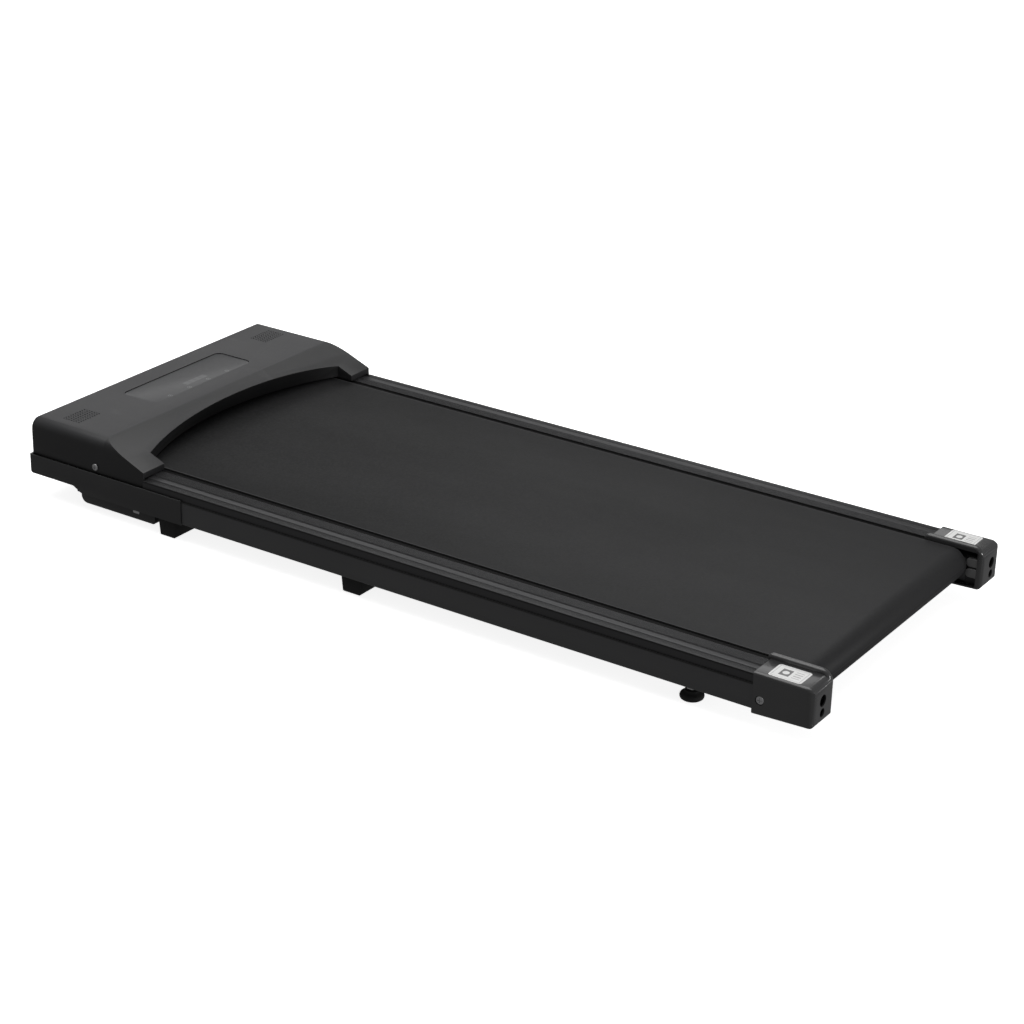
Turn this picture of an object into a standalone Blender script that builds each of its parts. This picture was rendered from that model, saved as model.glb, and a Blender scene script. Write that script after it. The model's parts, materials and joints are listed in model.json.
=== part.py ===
"""Under-desk treadmill (walking pad), as an assembly of separate solids.

Metres, +Z up. +X points to the tail and -X to the hood over the motor. The walker faces -X, so left
is -Y and right is +Y. The dimensions below are measured from a datum inside the machine. One empty
carries every piece and puts the origin on the floor, under the middle of the machine.
"""

import math

import bmesh
import bpy
from mathutils import Matrix, Vector

DATUM_AT = (0.002, 0.0, 0.003)  # where the datum lies, seen from the middle of the footprint
FLOOR_Z = -0.003
GAP = 0.0003  # left between solids that touch on the real machine
SIDES = (("left", -1), ("right", 1))

# Running belt and its rollers
BELT_TOP_Z = 0.0711
BELT_HALF_WIDTH = 0.202
BELT_THICK = 0.0016
ROLLER_R = 0.0200
ROLLER_WALL = 0.0022
BELT_INNER_R = ROLLER_R + 0.0004
BELT_OUTER_R = BELT_INNER_R + BELT_THICK
AXLE_R = 0.0058
AXLE_Z = BELT_TOP_Z - BELT_OUTER_R
FRONT_AXLE_X = -0.487
REAR_AXLE_X = 0.560
ROLLER_HALF_LENGTH = 0.2015
BEARING_WIDTH = 0.011
AXLE_TRAVEL = 0.013  # half the slot that lets the rear axle be drawn back

# Steel frame
RAIL_OUTER_Y = 0.252
RAIL_INNER_Y = 0.212
RAIL_BOTTOM_Z = 0.0234
RAIL_TOP_Z = 0.0571
RAIL_WALL = 0.0018
RAIL_FRONT_X = -0.451
RAIL_REAR_X = 0.590
CROSS_X = (("front", -0.367), ("middle", -0.065), ("rear", 0.400))
CROSS_HALF = 0.015

# Deck and aluminium foot rails
DECK_HALF_WIDTH = 0.2245
DECK_TOP_Z = 0.0690
DECK_FRONT_X = -0.449
DECK_REAR_X = 0.524
FOOT_RAIL_INNER_Y = 0.2075
FOOT_RAIL_OUTER_Y = 0.2507
FOOT_RAIL_TOP_Z = 0.0707
FOOT_RAIL_FRONT_X = -0.4485
FOOT_RAIL_REAR_X = 0.5235

# Plastic covers at the motor end
HOOD_FRONT_X = -0.606
HOOD_CREASE_X = -0.4775
HOOD_REAR_X = -0.404
HOOD_TOP_Z = 0.1093
HOOD_LIP_TOP_Z = 0.0795
HOOD_BOTTOM_Z = 0.0591
HOOD_HALF_WIDTH = 0.250
HOOD_DRAFT = math.tan(math.radians(3.2))
HOOD_WALL = 0.0025
HOOD_FILLET_R = 0.016
HOOD_CORNER_R = 0.004
HOOD_EDGE_R = 0.003
ARM_INNER_Y = 0.2067
ARM_BOTTOM_Z = 0.0712
ARCH_BOTTOM = {"z": 0.0711, "apex_x": -0.4775, "radius": 0.46}
ARCH_TOP = {"z": 0.1000, "apex_x": -0.459, "radius": 0.66}
TRAY_FRONT_X = -0.608
TRAY_REAR_X = -0.336
TRAY_HALF_WIDTH = 0.2538
TRAY_FLOOR_Z = 0.0312
TRAY_FLOOR_END_X = -0.5245
TRAY_WALL = 0.0025
TRAY_CORNER_R = 0.003
PAN_FRONT_X = -0.522
PAN_REAR_X = -0.390
PAN_BOTTOM_Z = 0.0065
PANEL = {"x": (-0.571, -0.507), "half_width": 0.1045, "corner": 0.011}
SPEAKER_X = -0.557
SPEAKER_Y = 0.2005

# Drive
PULLEY_R = 0.032
MOTOR_PULLEY_R = 0.0085
DRIVE_Y = (0.2066, 0.2162)
DRIVE_BELT_THICK = 0.0015
MOTOR_X = -0.556
MOTOR_Z = 0.0660
MOTOR_R = 0.027
MOTOR_Y = (-0.030, 0.095)
MOTOR_SHAFT_R = 0.004
PLATE_Z = (0.0358, 0.0380)
PLATE_X = (-0.582, -0.530)

# End caps at the tail
CAP_FRONT_X = 0.525
CAP_REAR_X = 0.604
CAP_INNER_Y = 0.204
CAP_OUTER_Y = 0.254
CAP_BOTTOM_Z = 0.018
CAP_HEEL_Z = 0.021
CAP_TOP_Z = 0.0725
CAP_RIDGE_TOP_Z = 0.0785
CAP_RIDGE_X = (0.520, 0.602)
CAP_RIDGE_OUTER_Y = 0.213
CAP_WALL = 0.0020
BOLT_Y = 0.231
BOLT_R = 0.003
CAP_SCREW = (0.535, 0.0384)
HOOD_SCREW = (-0.489, 0.0672)

# Feet, transport wheels and the electrical row on the front wall
FRONT_FOOT_X = (-0.381, -0.3525)
MIDDLE_FOOT_X = (-0.080, -0.049)
LEVELLER_X = 0.431
LEVELLER_Y = 0.2255
STUD_R = 0.004
WHEEL_X = -0.580
WHEEL_Y = 0.160
WHEEL_R = 0.0125
WHEEL_Z = 0.0142
WHEEL_HALF_WIDTH = 0.007
SOCKET_Z = 0.0463
INLET_Y = 0.195
SWITCH_Y = 0.155
SWITCH_PIVOT_X = -0.6040
SWITCH_TILT = math.radians(8)
BREAKER_Y = 0.128

FINISHES = {
    "hood_plastic": ((0.045, 0.045, 0.047), 0.45, 0.0),
    "cover_plastic": ((0.016, 0.016, 0.017), 0.38, 0.0),
    "display_gloss": ((0.055, 0.056, 0.058), 0.12, 0.0),
    "frame_paint": ((0.014, 0.014, 0.015), 0.42, 0.0),
    "foot_rail_aluminium": ((0.030, 0.030, 0.032), 0.40, 0.6),
    "belt_rubber": ((0.032, 0.032, 0.033), 0.85, 0.0),
    "foot_rubber": ((0.010, 0.010, 0.010), 0.80, 0.0),
    "deck_wood": ((0.300, 0.200, 0.110), 0.60, 0.0),
    "bright_steel": ((0.620, 0.620, 0.630), 0.28, 1.0),
    "motor_steel": ((0.120, 0.120, 0.125), 0.45, 0.8),
    "heatsink_aluminium": ((0.550, 0.560, 0.570), 0.40, 1.0),
    "board_green": ((0.020, 0.110, 0.050), 0.50, 0.0),
    "socket_black": ((0.012, 0.012, 0.012), 0.50, 0.0),
    "reset_red": ((0.450, 0.020, 0.015), 0.40, 0.0),
}


# ---- helpers ----


def clear_scene():
    for obj in list(bpy.data.objects):
        bpy.data.objects.remove(obj, do_unlink=True)


def finish_material(finish):
    """The material of this finish, made the first time it is asked for."""
    if finish in bpy.data.materials:
        return bpy.data.materials[finish]
    colour, roughness, metallic = FINISHES[finish]
    material = bpy.data.materials.new(finish)
    material.use_nodes = True
    shader = material.node_tree.nodes["Principled BSDF"]
    shader.inputs["Base Color"].default_value = (*colour, 1.0)
    shader.inputs["Roughness"].default_value = roughness
    shader.inputs["Metallic"].default_value = metallic
    return material


def mesh_object(name, points, faces, finish=None, origin=(0.0, 0.0, 0.0)):
    """An object from points in world space. With no finish it is a cutter or a tool body."""
    mesh = bpy.data.meshes.new(name)
    mesh.from_pydata([Vector(point) - Vector(origin) for point in points], [], faces)
    shape = bmesh.new()
    shape.from_mesh(mesh)
    bmesh.ops.recalc_face_normals(shape, faces=shape.faces)
    shape.to_mesh(mesh)
    shape.free()
    obj = bpy.data.objects.new(name, mesh)
    obj.location = origin
    bpy.context.scene.collection.objects.link(obj)
    if finish is None:
        obj.hide_render = True
        obj.display_type = "WIRE"
    else:
        mesh.materials.append(finish_material(finish))
    return obj


def along_axis(axis, first, second, along):
    """A point from its two coordinates across an axis and its place along that axis."""
    return {
        "x": (along, first, second),
        "y": (first, along, second),
        "z": (first, second, along),
    }[axis]


def prism(name, outline, axis, low, high, finish=None, origin=(0.0, 0.0, 0.0)):
    """An outline of (first, second) points swept straight along an axis, in X, Y, Z order."""
    count = len(outline)
    points = [along_axis(axis, *point, level) for level in (low, high) for point in outline]
    faces = [tuple(range(count)), tuple(range(2 * count - 1, count - 1, -1))]
    for i in range(count):
        after = (i + 1) % count
        faces.append((i, after, count + after, count + i))
    return mesh_object(name, points, faces, finish, origin)


def block(name, low, high, finish=None):
    outline = [(low[0], low[1]), (high[0], low[1]), (high[0], high[1]), (low[0], high[1])]
    return prism(name, outline, "z", low[2], high[2], finish)


def rounded(corners, steps=4):
    """An outline from corners (first, second, radius), with an arc at each corner that has a radius."""
    outline = []
    for i, (first, second, radius) in enumerate(corners):
        here = Vector((first, second))
        back = Vector(corners[i - 1][:2]) - here
        ahead = Vector(corners[(i + 1) % len(corners)][:2]) - here
        if radius == 0:
            outline.append(tuple(here))
            continue
        half = back.angle(ahead) / 2
        middle = here + (back.normalized() + ahead.normalized()).normalized() * radius / math.sin(half)
        start = here + back.normalized() * radius / math.tan(half) - middle
        end = here + ahead.normalized() * radius / math.tan(half) - middle
        turn = start.angle_signed(end)
        for step in range(steps + 1):
            spoke = start.copy()
            spoke.rotate(Matrix.Rotation(-turn * step / steps, 2))
            outline.append(tuple(middle + spoke))
    return outline


def rectangle(first, second, radius=0.0, steps=4):
    """A rounded rectangle from its (low, high) along each coordinate."""
    corners = [
        (first[0], second[0], radius),
        (first[1], second[0], radius),
        (first[1], second[1], radius),
        (first[0], second[1], radius),
    ]
    return rounded(corners, steps)


def turned(name, profile, axis, centre, finish=None, steps=32):
    """A closed profile of (radius, along) points spun about an axis through centre."""
    points, rings, faces = [], [], []
    for radius, along in profile:
        count = 1 if radius == 0 else steps
        rings.append(range(len(points), len(points) + count))
        for i in range(count):
            angle = 2 * math.pi * i / steps
            across = (radius * math.cos(angle), radius * math.sin(angle))
            points.append(Vector(centre) + Vector(along_axis(axis, *across, along)))
    for this, following in zip(rings, rings[1:] + rings[:1]):
        if len(this) == 1 and len(following) == 1:
            continue
        for i in range(steps):
            after = (i + 1) % steps
            corners = [this[i % len(this)], this[after % len(this)]]
            corners += [following[after % len(following)], following[i % len(following)]]
            faces.append(tuple(dict.fromkeys(corners)))
    obj = mesh_object(name, points, faces, finish, centre)
    obj.data.shade_smooth()
    obj.data.set_sharp_from_angle(angle=math.radians(35))
    return obj


def disc_profile(radius, low, high, bore=0.0):
    return [(bore, low), (radius, low), (radius, high), (bore, high)]


def use_tool(obj, operation, *tools, solver="EXACT"):
    for tool in tools:
        modifier = obj.modifiers.new(operation.lower() + "_" + tool.name, "BOOLEAN")
        modifier.operation = operation
        modifier.object = tool
        modifier.solver = solver
    return obj


def cut(obj, *tools, solver="EXACT"):
    return use_tool(obj, "DIFFERENCE", *tools, solver=solver)


def join(obj, *tools):
    return use_tool(obj, "UNION", *tools)


def mirrored(side, outline):
    """An outline whose first coordinate is Y, moved to its side of the machine."""
    return [(side * first, second) for first, second in outline]


def span(side, low, high):
    """Distances from the middle as (low, high) in Y on this side."""
    return tuple(sorted((side * low, side * high)))


def loop_path(front, front_r, rear, rear_r, steps):
    """A closed loop stretched round two circles in the XZ plane, as (x, z) points."""
    reach = Vector(rear) - Vector(front)
    lean = math.atan2(reach.y, reach.x)
    wrap = math.acos((front_r - rear_r) / reach.length)
    path = []
    for centre, radius, start, sweep in (
        (front, front_r, lean + wrap, 2 * (math.pi - wrap)),
        (rear, rear_r, lean - wrap, 2 * wrap),
    ):
        for step in range(steps + 1):
            angle = start + sweep * step / steps
            path.append((centre[0] + radius * math.cos(angle), centre[1] + radius * math.sin(angle)))
    return path


def band(name, outer, inner, low, high, finish):
    """A belt: the space between two closed loops of (x, z) points, from y = low to high."""
    count = len(outer)
    points = [(x, y, z) for loop in (outer, inner) for y in (low, high) for x, z in loop]
    faces = []
    for first, second in ((0, 1), (1, 3), (3, 2), (2, 0)):
        for i in range(count):
            after = (i + 1) % count
            near, far = first * count, second * count
            faces.append((near + i, near + after, far + after, far + i))
    return mesh_object(name, points, faces, finish)


# ---- steel frame ----


def frame_rail(name, side):
    y = span(side, RAIL_INNER_Y, RAIL_OUTER_Y)
    hollow_y = span(side, RAIL_INNER_Y + RAIL_WALL, RAIL_OUTER_Y - RAIL_WALL)
    rail = prism(
        f"frame_rail_{name}",
        rectangle(y, (RAIL_BOTTOM_Z, RAIL_TOP_Z), 0.0025, 3),
        "x", RAIL_FRONT_X, RAIL_REAR_X, "frame_paint",
    )
    hollow = prism(
        f"rail_hollow_{name}",
        rectangle(hollow_y, (RAIL_BOTTOM_Z + RAIL_WALL, RAIL_TOP_Z - RAIL_WALL)),
        "x", RAIL_FRONT_X - 0.01, RAIL_REAR_X - 0.003,
    )
    slot_half = AXLE_R + GAP
    slot_y = span(side, RAIL_INNER_Y - 0.001, RAIL_INNER_Y + RAIL_WALL + 0.001)
    axle_slot = prism(
        f"axle_slot_{name}",
        rectangle(
            (REAR_AXLE_X - AXLE_TRAVEL, REAR_AXLE_X + AXLE_TRAVEL),
            (AXLE_Z - slot_half, AXLE_Z + slot_half), 0.0058, 5,
        ),
        "y", *slot_y,
    )
    bolt_hole = turned(
        f"rail_bolt_hole_{name}", disc_profile(BOLT_R + 0.0006, -0.01, 0.01), "x",
        (RAIL_REAR_X, side * BOLT_Y, AXLE_Z), steps=16,
    )
    stud_hole = turned(
        f"rail_stud_hole_{name}", disc_profile(STUD_R + 0.0006, -0.004, 0.003), "z",
        (LEVELLER_X, side * LEVELLER_Y, RAIL_BOTTOM_Z), steps=16,
    )
    screw_hole = turned(
        f"rail_screw_hole_{name}", disc_profile(0.0028, -0.004, 0.004), "y",
        (CAP_SCREW[0], side * RAIL_OUTER_Y, CAP_SCREW[1]), steps=16,
    )
    cut(rail, hollow, axle_slot, bolt_hole, stud_hole, screw_hole)


def side_plate(name, side):
    """The upright plate that carries the front axle, in front of the frame rail."""
    outline = [
        (-0.591, RAIL_TOP_Z),
        (-0.591, PLATE_Z[0]),
        (-0.5235, PLATE_Z[0]),
        (-0.5235, RAIL_BOTTOM_Z),
        (RAIL_FRONT_X - GAP, RAIL_BOTTOM_Z),
        (RAIL_FRONT_X - GAP, RAIL_TOP_Z),
    ]
    plate = prism(f"side_plate_{name}", outline, "y", *span(side, 0.2478, 0.2508), "frame_paint")
    axle_hole = turned(
        f"plate_axle_hole_{name}", disc_profile(AXLE_R + 0.0006, -0.01, 0.01), "y",
        (FRONT_AXLE_X, side * 0.249, AXLE_Z), steps=24,
    )
    cut(plate, axle_hole)


def cross_member(name, x):
    reach = RAIL_INNER_Y - GAP
    tube = prism(
        f"cross_member_{name}", rectangle((x - CROSS_HALF, x + CROSS_HALF), (0.0302, 0.0562), 0.002, 2),
        "y", -reach, reach, "frame_paint",
    )
    bore = prism(
        f"cross_bore_{name}", rectangle((x - CROSS_HALF + 0.0018, x + CROSS_HALF - 0.0018), (0.0320, 0.0544)),
        "y", -reach - 0.01, reach + 0.01,
    )
    cut(tube, bore)


def deck_board():
    board = block(
        "deck_board",
        (DECK_FRONT_X, -DECK_HALF_WIDTH, RAIL_TOP_Z + GAP),
        (DECK_REAR_X, DECK_HALF_WIDTH, DECK_TOP_Z),
        "deck_wood",
    )
    nose = board.modifiers.new("eased_edges", "BEVEL")
    nose.width = 0.0015
    nose.segments = 2


def foot_rail_outline():
    """The extruded section as (distance from the middle, z): ribs inside, a plain band, grooves outside."""
    rib_top, rib_foot = FOOT_RAIL_TOP_Z, FOOT_RAIL_TOP_Z - 0.0005
    outline = [(FOOT_RAIL_INNER_Y, rib_top - 0.0013)]
    ribs, pitch = 10, 0.00179
    for i in range(ribs):
        start = FOOT_RAIL_INNER_Y + i * pitch
        outline += [(start, rib_top), (start + 0.0011, rib_top)]
        if i < ribs - 1:
            outline += [(start + 0.0013, rib_foot), (start + pitch - 0.0002, rib_foot)]
    band_z = 0.0695
    outline += [(0.2256, band_z), (0.2364, band_z)]
    grooves, groove_pitch = 7, 0.0018
    for i in range(grooves):
        start = 0.2366 + i * groove_pitch
        top = band_z - 0.00006 * (i + 1)
        outline += [(start, top - 0.0004), (start + 0.0007, top - 0.0004)]
        outline += [(start + 0.0008, top), (start + groove_pitch - 0.0001, top)]
    skirt_foot = RAIL_TOP_Z + GAP
    outline += [(FOOT_RAIL_OUTER_Y - 0.0004, 0.0688), (FOOT_RAIL_OUTER_Y, 0.0682)]
    outline += [(FOOT_RAIL_OUTER_Y, skirt_foot), (FOOT_RAIL_OUTER_Y - 0.0012, skirt_foot)]
    outline += [(FOOT_RAIL_OUTER_Y - 0.0012, 0.0678), (0.2276, 0.0681), (0.2276, skirt_foot)]
    outline += [(0.2262, skirt_foot), (0.2262, 0.0684), (0.2249, 0.0684), (0.2249, rib_top - 0.0013)]
    return outline


def foot_rail(name, side):
    rail = prism(
        f"foot_rail_{name}", mirrored(side, foot_rail_outline()), "x",
        FOOT_RAIL_FRONT_X, FOOT_RAIL_REAR_X, "foot_rail_aluminium",
    )
    low, high = span(side, 0.2459, 0.26)
    notch = block(f"foot_rail_notch_{name}", (-0.46, low, 0.05), (HOOD_REAR_X + GAP, high, 0.08))
    cut(rail, notch)


# ---- covers at the motor end ----


def hood_section(x, inset, bottom):
    """The hood's outline across the machine at x, as (y, z) points, drawn in by inset."""
    along = max(0.0, x - HOOD_FRONT_X - inset)
    corner_r, edge_r = HOOD_CORNER_R, HOOD_EDGE_R
    side_in = inset + corner_r - math.sqrt(corner_r**2 - max(0.0, corner_r - along) ** 2)
    top = HOOD_TOP_Z - inset - edge_r + math.sqrt(edge_r**2 - max(0.0, edge_r - along) ** 2)

    def half_width(z):
        return HOOD_HALF_WIDTH - side_in - (z - HOOD_BOTTOM_Z) * HOOD_DRAFT

    fillet = HOOD_FILLET_R - inset
    corners = [
        (half_width(bottom), bottom, 0),
        (half_width(top), top, fillet),
        (-half_width(top), top, fillet),
        (-half_width(bottom), bottom, 0),
    ]
    return rounded(corners, 6)


def hood_solid(name, inset, bottom, finish=None):
    """The filleted hood body, cut off by the slope that runs down to the lip."""
    turns = [math.radians(angle) for angle in (0, 20, 38, 55, 72, 90)]
    stations = [HOOD_FRONT_X + inset + HOOD_CORNER_R * (1 - math.cos(turn)) for turn in turns]
    stations.append(HOOD_REAR_X - inset)
    sections = [hood_section(x, inset, bottom) for x in stations]
    count = len(sections[0])
    points = [(x, y, z) for x, section in zip(stations, sections) for y, z in section]
    faces = [tuple(range(count)), tuple(range(len(points) - 1, len(points) - count - 1, -1))]
    for ring in range(len(stations) - 1):
        for i in range(count):
            after = (i + 1) % count
            here, ahead = ring * count, (ring + 1) * count
            faces.append((here + i, here + after, ahead + after, ahead + i))
    hood = mesh_object(name, points, faces, finish)
    fall = (HOOD_TOP_Z - HOOD_LIP_TOP_Z) / (HOOD_REAR_X - HOOD_CREASE_X)
    drop = inset * math.hypot(1.0, fall)

    def slope_z(x):
        return HOOD_TOP_Z - drop - (x - HOOD_CREASE_X) * fall

    front, rear = HOOD_CREASE_X - 0.010, HOOD_REAR_X + 0.010
    wedge = [(front, slope_z(front)), (rear, slope_z(rear)), (rear, 0.15), (front, 0.15)]
    return cut(hood, prism(f"{name}_slope", wedge, "y", -0.3, 0.3), solver="MANIFOLD")


def arch_x(arch, y):
    return arch["apex_x"] + arch["radius"] - math.sqrt(arch["radius"] ** 2 - y**2)


def arch_level(z, grow):
    """The arch's outline in plan at height z, as (x, y) points: it leans in towards the belt."""
    rise = (z - ARCH_BOTTOM["z"]) / (ARCH_TOP["z"] - ARCH_BOTTOM["z"])
    edge_y, corner = ARM_INNER_Y + grow, 0.008

    def wall_x(y):
        return arch_x(ARCH_BOTTOM, y) * (1 - rise) + arch_x(ARCH_TOP, y) * rise - grow

    steps = 14
    arc_end = edge_y - corner
    arc = [(wall_x(y), y) for y in (arc_end * (2 * i / steps - 1) for i in range(steps + 1))]
    start = (wall_x(arc_end), arc_end)
    control = (wall_x(edge_y), edge_y)
    end = (wall_x(edge_y) + corner, edge_y)
    bend = []
    for i in range(1, 5):
        t = i / 4
        early, middle, late = (1 - t) ** 2, 2 * t * (1 - t), t**2
        bend.append(tuple(early * start[k] + middle * control[k] + late * end[k] for k in (0, 1)))
    opposite = [(x, -y) for x, y in reversed(bend)]
    return [(-0.38, -edge_y), *opposite, *arc, *bend, (-0.38, edge_y)]


def arch_tool(name, grow):
    levels = (0.050, 0.118)
    rings = [arch_level(z, grow) for z in levels]
    count = len(rings[0])
    points = [(x, y, z) for z, ring in zip(levels, rings) for x, y in ring]
    faces = [tuple(range(count)), tuple(range(2 * count - 1, count - 1, -1))]
    faces += [(i, (i + 1) % count, count + (i + 1) % count, count + i) for i in range(count)]
    return mesh_object(name, points, faces)


def hood_shell():
    hood = hood_solid("hood_shell", 0.0, HOOD_BOTTOM_Z, "hood_plastic")
    hollow = hood_solid("hood_hollow", HOOD_WALL, 0.050)
    cut(hollow, arch_tool("arch_inside", HOOD_WALL), solver="MANIFOLD")
    cut(hood, arch_tool("arch_outside", 0.0), hollow, solver="MANIFOLD")
    belt_edge, rail_edge, way_foot, way_top = ARM_INNER_Y, 0.2462, 0.040, 0.0728
    way = [
        (-rail_edge, way_foot), (rail_edge, way_foot), (rail_edge, ARM_BOTTOM_Z), (belt_edge, ARM_BOTTOM_Z),
        (belt_edge, way_top), (-belt_edge, way_top), (-belt_edge, ARM_BOTTOM_Z), (-rail_edge, ARM_BOTTOM_Z),
    ]
    cut(hood, prism("hood_belt_way", way, "x", -0.495, -0.390), solver="MANIFOLD")
    for name, side in SIDES:
        hole = turned(
            f"hood_screw_hole_{name}", disc_profile(0.0028, -0.006, 0.006), "y",
            (HOOD_SCREW[0], side * 0.249, HOOD_SCREW[1]), steps=16,
        )
        cut(hood, hole, solver="MANIFOLD")
    panel_hole = prism(
        "panel_hole",
        rectangle(PANEL["x"], (-PANEL["half_width"], PANEL["half_width"]), PANEL["corner"], 6),
        "z", 0.100, 0.120,
    )
    cut(hood, panel_hole, solver="MANIFOLD")


def display_panel():
    clear = 0.0004
    x = (PANEL["x"][0] + clear, PANEL["x"][1] - clear)
    reach = PANEL["half_width"] - clear
    prism(
        "display_panel", rectangle(x, (-reach, reach), PANEL["corner"] - clear, 6),
        "z", HOOD_TOP_Z - 0.0040, HOOD_TOP_Z - 0.0008, "display_gloss",
    )
    board = prism(
        "display_board", rectangle((-0.567, -0.511), (-0.098, 0.098), 0.002, 2),
        "z", 0.1010, 0.1026, "board_green",
    )
    digits = block("digit_block", (-0.533, -0.024, 0.1020), (-0.519, 0.024, 0.1048))
    join(board, digits)


def speaker(name, side):
    half_x, half_y = 0.0225, 0.0125
    outline = rectangle(
        (SPEAKER_X - half_x, SPEAKER_X + half_x), span(side, SPEAKER_Y - half_y, SPEAKER_Y + half_y), 0.005
    )
    basket = prism(f"speaker_{name}", outline, "z", 0.1005, 0.1062, "socket_black")
    magnet = turned(
        f"speaker_magnet_{name}", disc_profile(0.0095, -0.0075, 0.001), "z",
        (SPEAKER_X, side * SPEAKER_Y, 0.1005), steps=20,
    )
    join(basket, magnet)


def base_tray():
    side_view = rounded(
        [
            (TRAY_FRONT_X, HOOD_BOTTOM_Z - GAP, 0),
            (TRAY_FRONT_X, TRAY_FLOOR_Z, 0.006),
            (-0.5285, TRAY_FLOOR_Z, 0.008),
            (-0.5140, RAIL_BOTTOM_Z, 0.008),
            (TRAY_REAR_X, RAIL_BOTTOM_Z, 0),
            (TRAY_REAR_X, HOOD_BOTTOM_Z - GAP, 0),
        ],
        4,
    )
    tray = prism("base_tray", side_view, "y", -TRAY_HALF_WIDTH, TRAY_HALF_WIDTH, "cover_plastic")
    plan = rounded(
        [
            (TRAY_FRONT_X, -TRAY_HALF_WIDTH, TRAY_CORNER_R),
            (TRAY_REAR_X + 0.01, -TRAY_HALF_WIDTH, 0),
            (TRAY_REAR_X + 0.01, TRAY_HALF_WIDTH, 0),
            (TRAY_FRONT_X, TRAY_HALF_WIDTH, TRAY_CORNER_R),
        ],
        5,
    )
    use_tool(tray, "INTERSECT", prism("tray_plan", plan, "z", 0.0, 0.08))
    reach = TRAY_HALF_WIDTH - TRAY_WALL
    hollow = rounded(
        [
            (TRAY_FRONT_X + TRAY_WALL, -reach, 0.001),
            (TRAY_FLOOR_END_X, -reach, 0),
            (TRAY_FLOOR_END_X, reach, 0),
            (TRAY_FRONT_X + TRAY_WALL, reach, 0.001),
        ],
        5,
    )
    front_hollow = prism("tray_front_hollow", hollow, "z", TRAY_FLOOR_Z + TRAY_WALL, 0.08)
    between = block("tray_between_rails", (TRAY_FLOOR_END_X - 0.001, -0.2523, 0.0), (-0.30, 0.2523, 0.08))
    drive_way = block("tray_drive_way", (-0.545, 0.2040, 0.02), (TRAY_FLOOR_END_X + 0.001, 0.2190, 0.05))
    cut(tray, front_hollow, between, drive_way)
    wall_x = (TRAY_FRONT_X - 0.002, TRAY_FRONT_X + TRAY_WALL + 0.002)
    inlet_hole = block(
        "tray_inlet_hole",
        (wall_x[0], INLET_Y - 0.0139, SOCKET_Z - 0.0103), (wall_x[1], INLET_Y + 0.0139, SOCKET_Z + 0.0103),
    )
    switch_hole = block(
        "tray_switch_hole",
        (wall_x[0], SWITCH_Y - 0.0115, SOCKET_Z - 0.0083), (wall_x[1], SWITCH_Y + 0.0115, SOCKET_Z + 0.0083),
    )
    breaker_hole = turned(
        "tray_breaker_hole", disc_profile(0.0070, -0.005, 0.005), "x",
        (TRAY_FRONT_X, BREAKER_Y, SOCKET_Z), steps=24,
    )
    cut(tray, inlet_hole, switch_hole, breaker_hole)


def belly_pan():
    """The shallow cover under the front roller, open upwards."""
    top, wall = RAIL_BOTTOM_Z - 0.0007, 0.0020
    outer = rounded(
        [
            (PAN_FRONT_X, top, 0),
            (PAN_FRONT_X, PAN_BOTTOM_Z, 0.010),
            (PAN_REAR_X, PAN_BOTTOM_Z, 0.004),
            (PAN_REAR_X, top, 0),
        ],
        5,
    )
    inner = rounded(
        [
            (PAN_FRONT_X + wall, 0.04, 0),
            (PAN_FRONT_X + wall, PAN_BOTTOM_Z + wall, 0.008),
            (PAN_REAR_X - wall, PAN_BOTTOM_Z + wall, 0.002),
            (PAN_REAR_X - wall, 0.04, 0),
        ],
        5,
    )
    pan = prism("belly_pan", outer, "y", -0.245, 0.245, "cover_plastic")
    hollow = prism("pan_hollow", inner, "y", -0.243, 0.243)
    cut(pan, hollow)


# ---- belt drive ----


def rollers():
    tube = disc_profile(ROLLER_R, -ROLLER_HALF_LENGTH, ROLLER_HALF_LENGTH, ROLLER_R - ROLLER_WALL)
    long_tube = disc_profile(ROLLER_R, -ROLLER_HALF_LENGTH, 0.2060, ROLLER_R - ROLLER_WALL)
    front_at, rear_at = (FRONT_AXLE_X, 0.0, AXLE_Z), (REAR_AXLE_X, 0.0, AXLE_Z)
    turned("front_roller", long_tube, "y", front_at, "motor_steel", 36)
    turned("rear_roller", tube, "y", rear_at, "motor_steel", 36)
    turned("front_axle", disc_profile(AXLE_R, -0.2500, 0.2500), "y", front_at, "bright_steel", 20)
    rear_axle = turned("rear_axle", disc_profile(AXLE_R, -0.2400, 0.2400), "y", rear_at, "bright_steel", 20)
    for name, side in SIDES:
        hole = turned(
            f"axle_bolt_hole_{name}", disc_profile(BOLT_R + 0.0004, -0.02, 0.02), "x",
            (REAR_AXLE_X, side * BOLT_Y, AXLE_Z), steps=16,
        )
        cut(rear_axle, hole)
        for end, at in (("front", front_at), ("rear", rear_at)):
            low, high = span(side, ROLLER_HALF_LENGTH - 0.0005 - BEARING_WIDTH, ROLLER_HALF_LENGTH - 0.0005)
            ring = disc_profile(ROLLER_R - ROLLER_WALL - GAP, low, high, AXLE_R + 2 * GAP)
            turned(f"{end}_bearing_{name}", ring, "y", at, "bright_steel", 20)


def drive_pulley():
    """The ribbed pulley on the right end of the front roller."""
    low, high = DRIVE_Y
    web_low, web_high = low + 0.0035, high - 0.0035
    bore = AXLE_R + 0.0010
    profile = [
        (bore, low), (0.0175, low), (0.0180, web_low), (0.0285, web_low), (0.0290, low), (PULLEY_R, low),
        (PULLEY_R, high), (0.0290, high), (0.0285, web_high), (0.0180, web_high), (0.0175, high),
        (bore, high),
    ]
    turned("drive_pulley", profile, "y", (FRONT_AXLE_X, 0.0, AXLE_Z), "motor_steel", 28)


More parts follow.
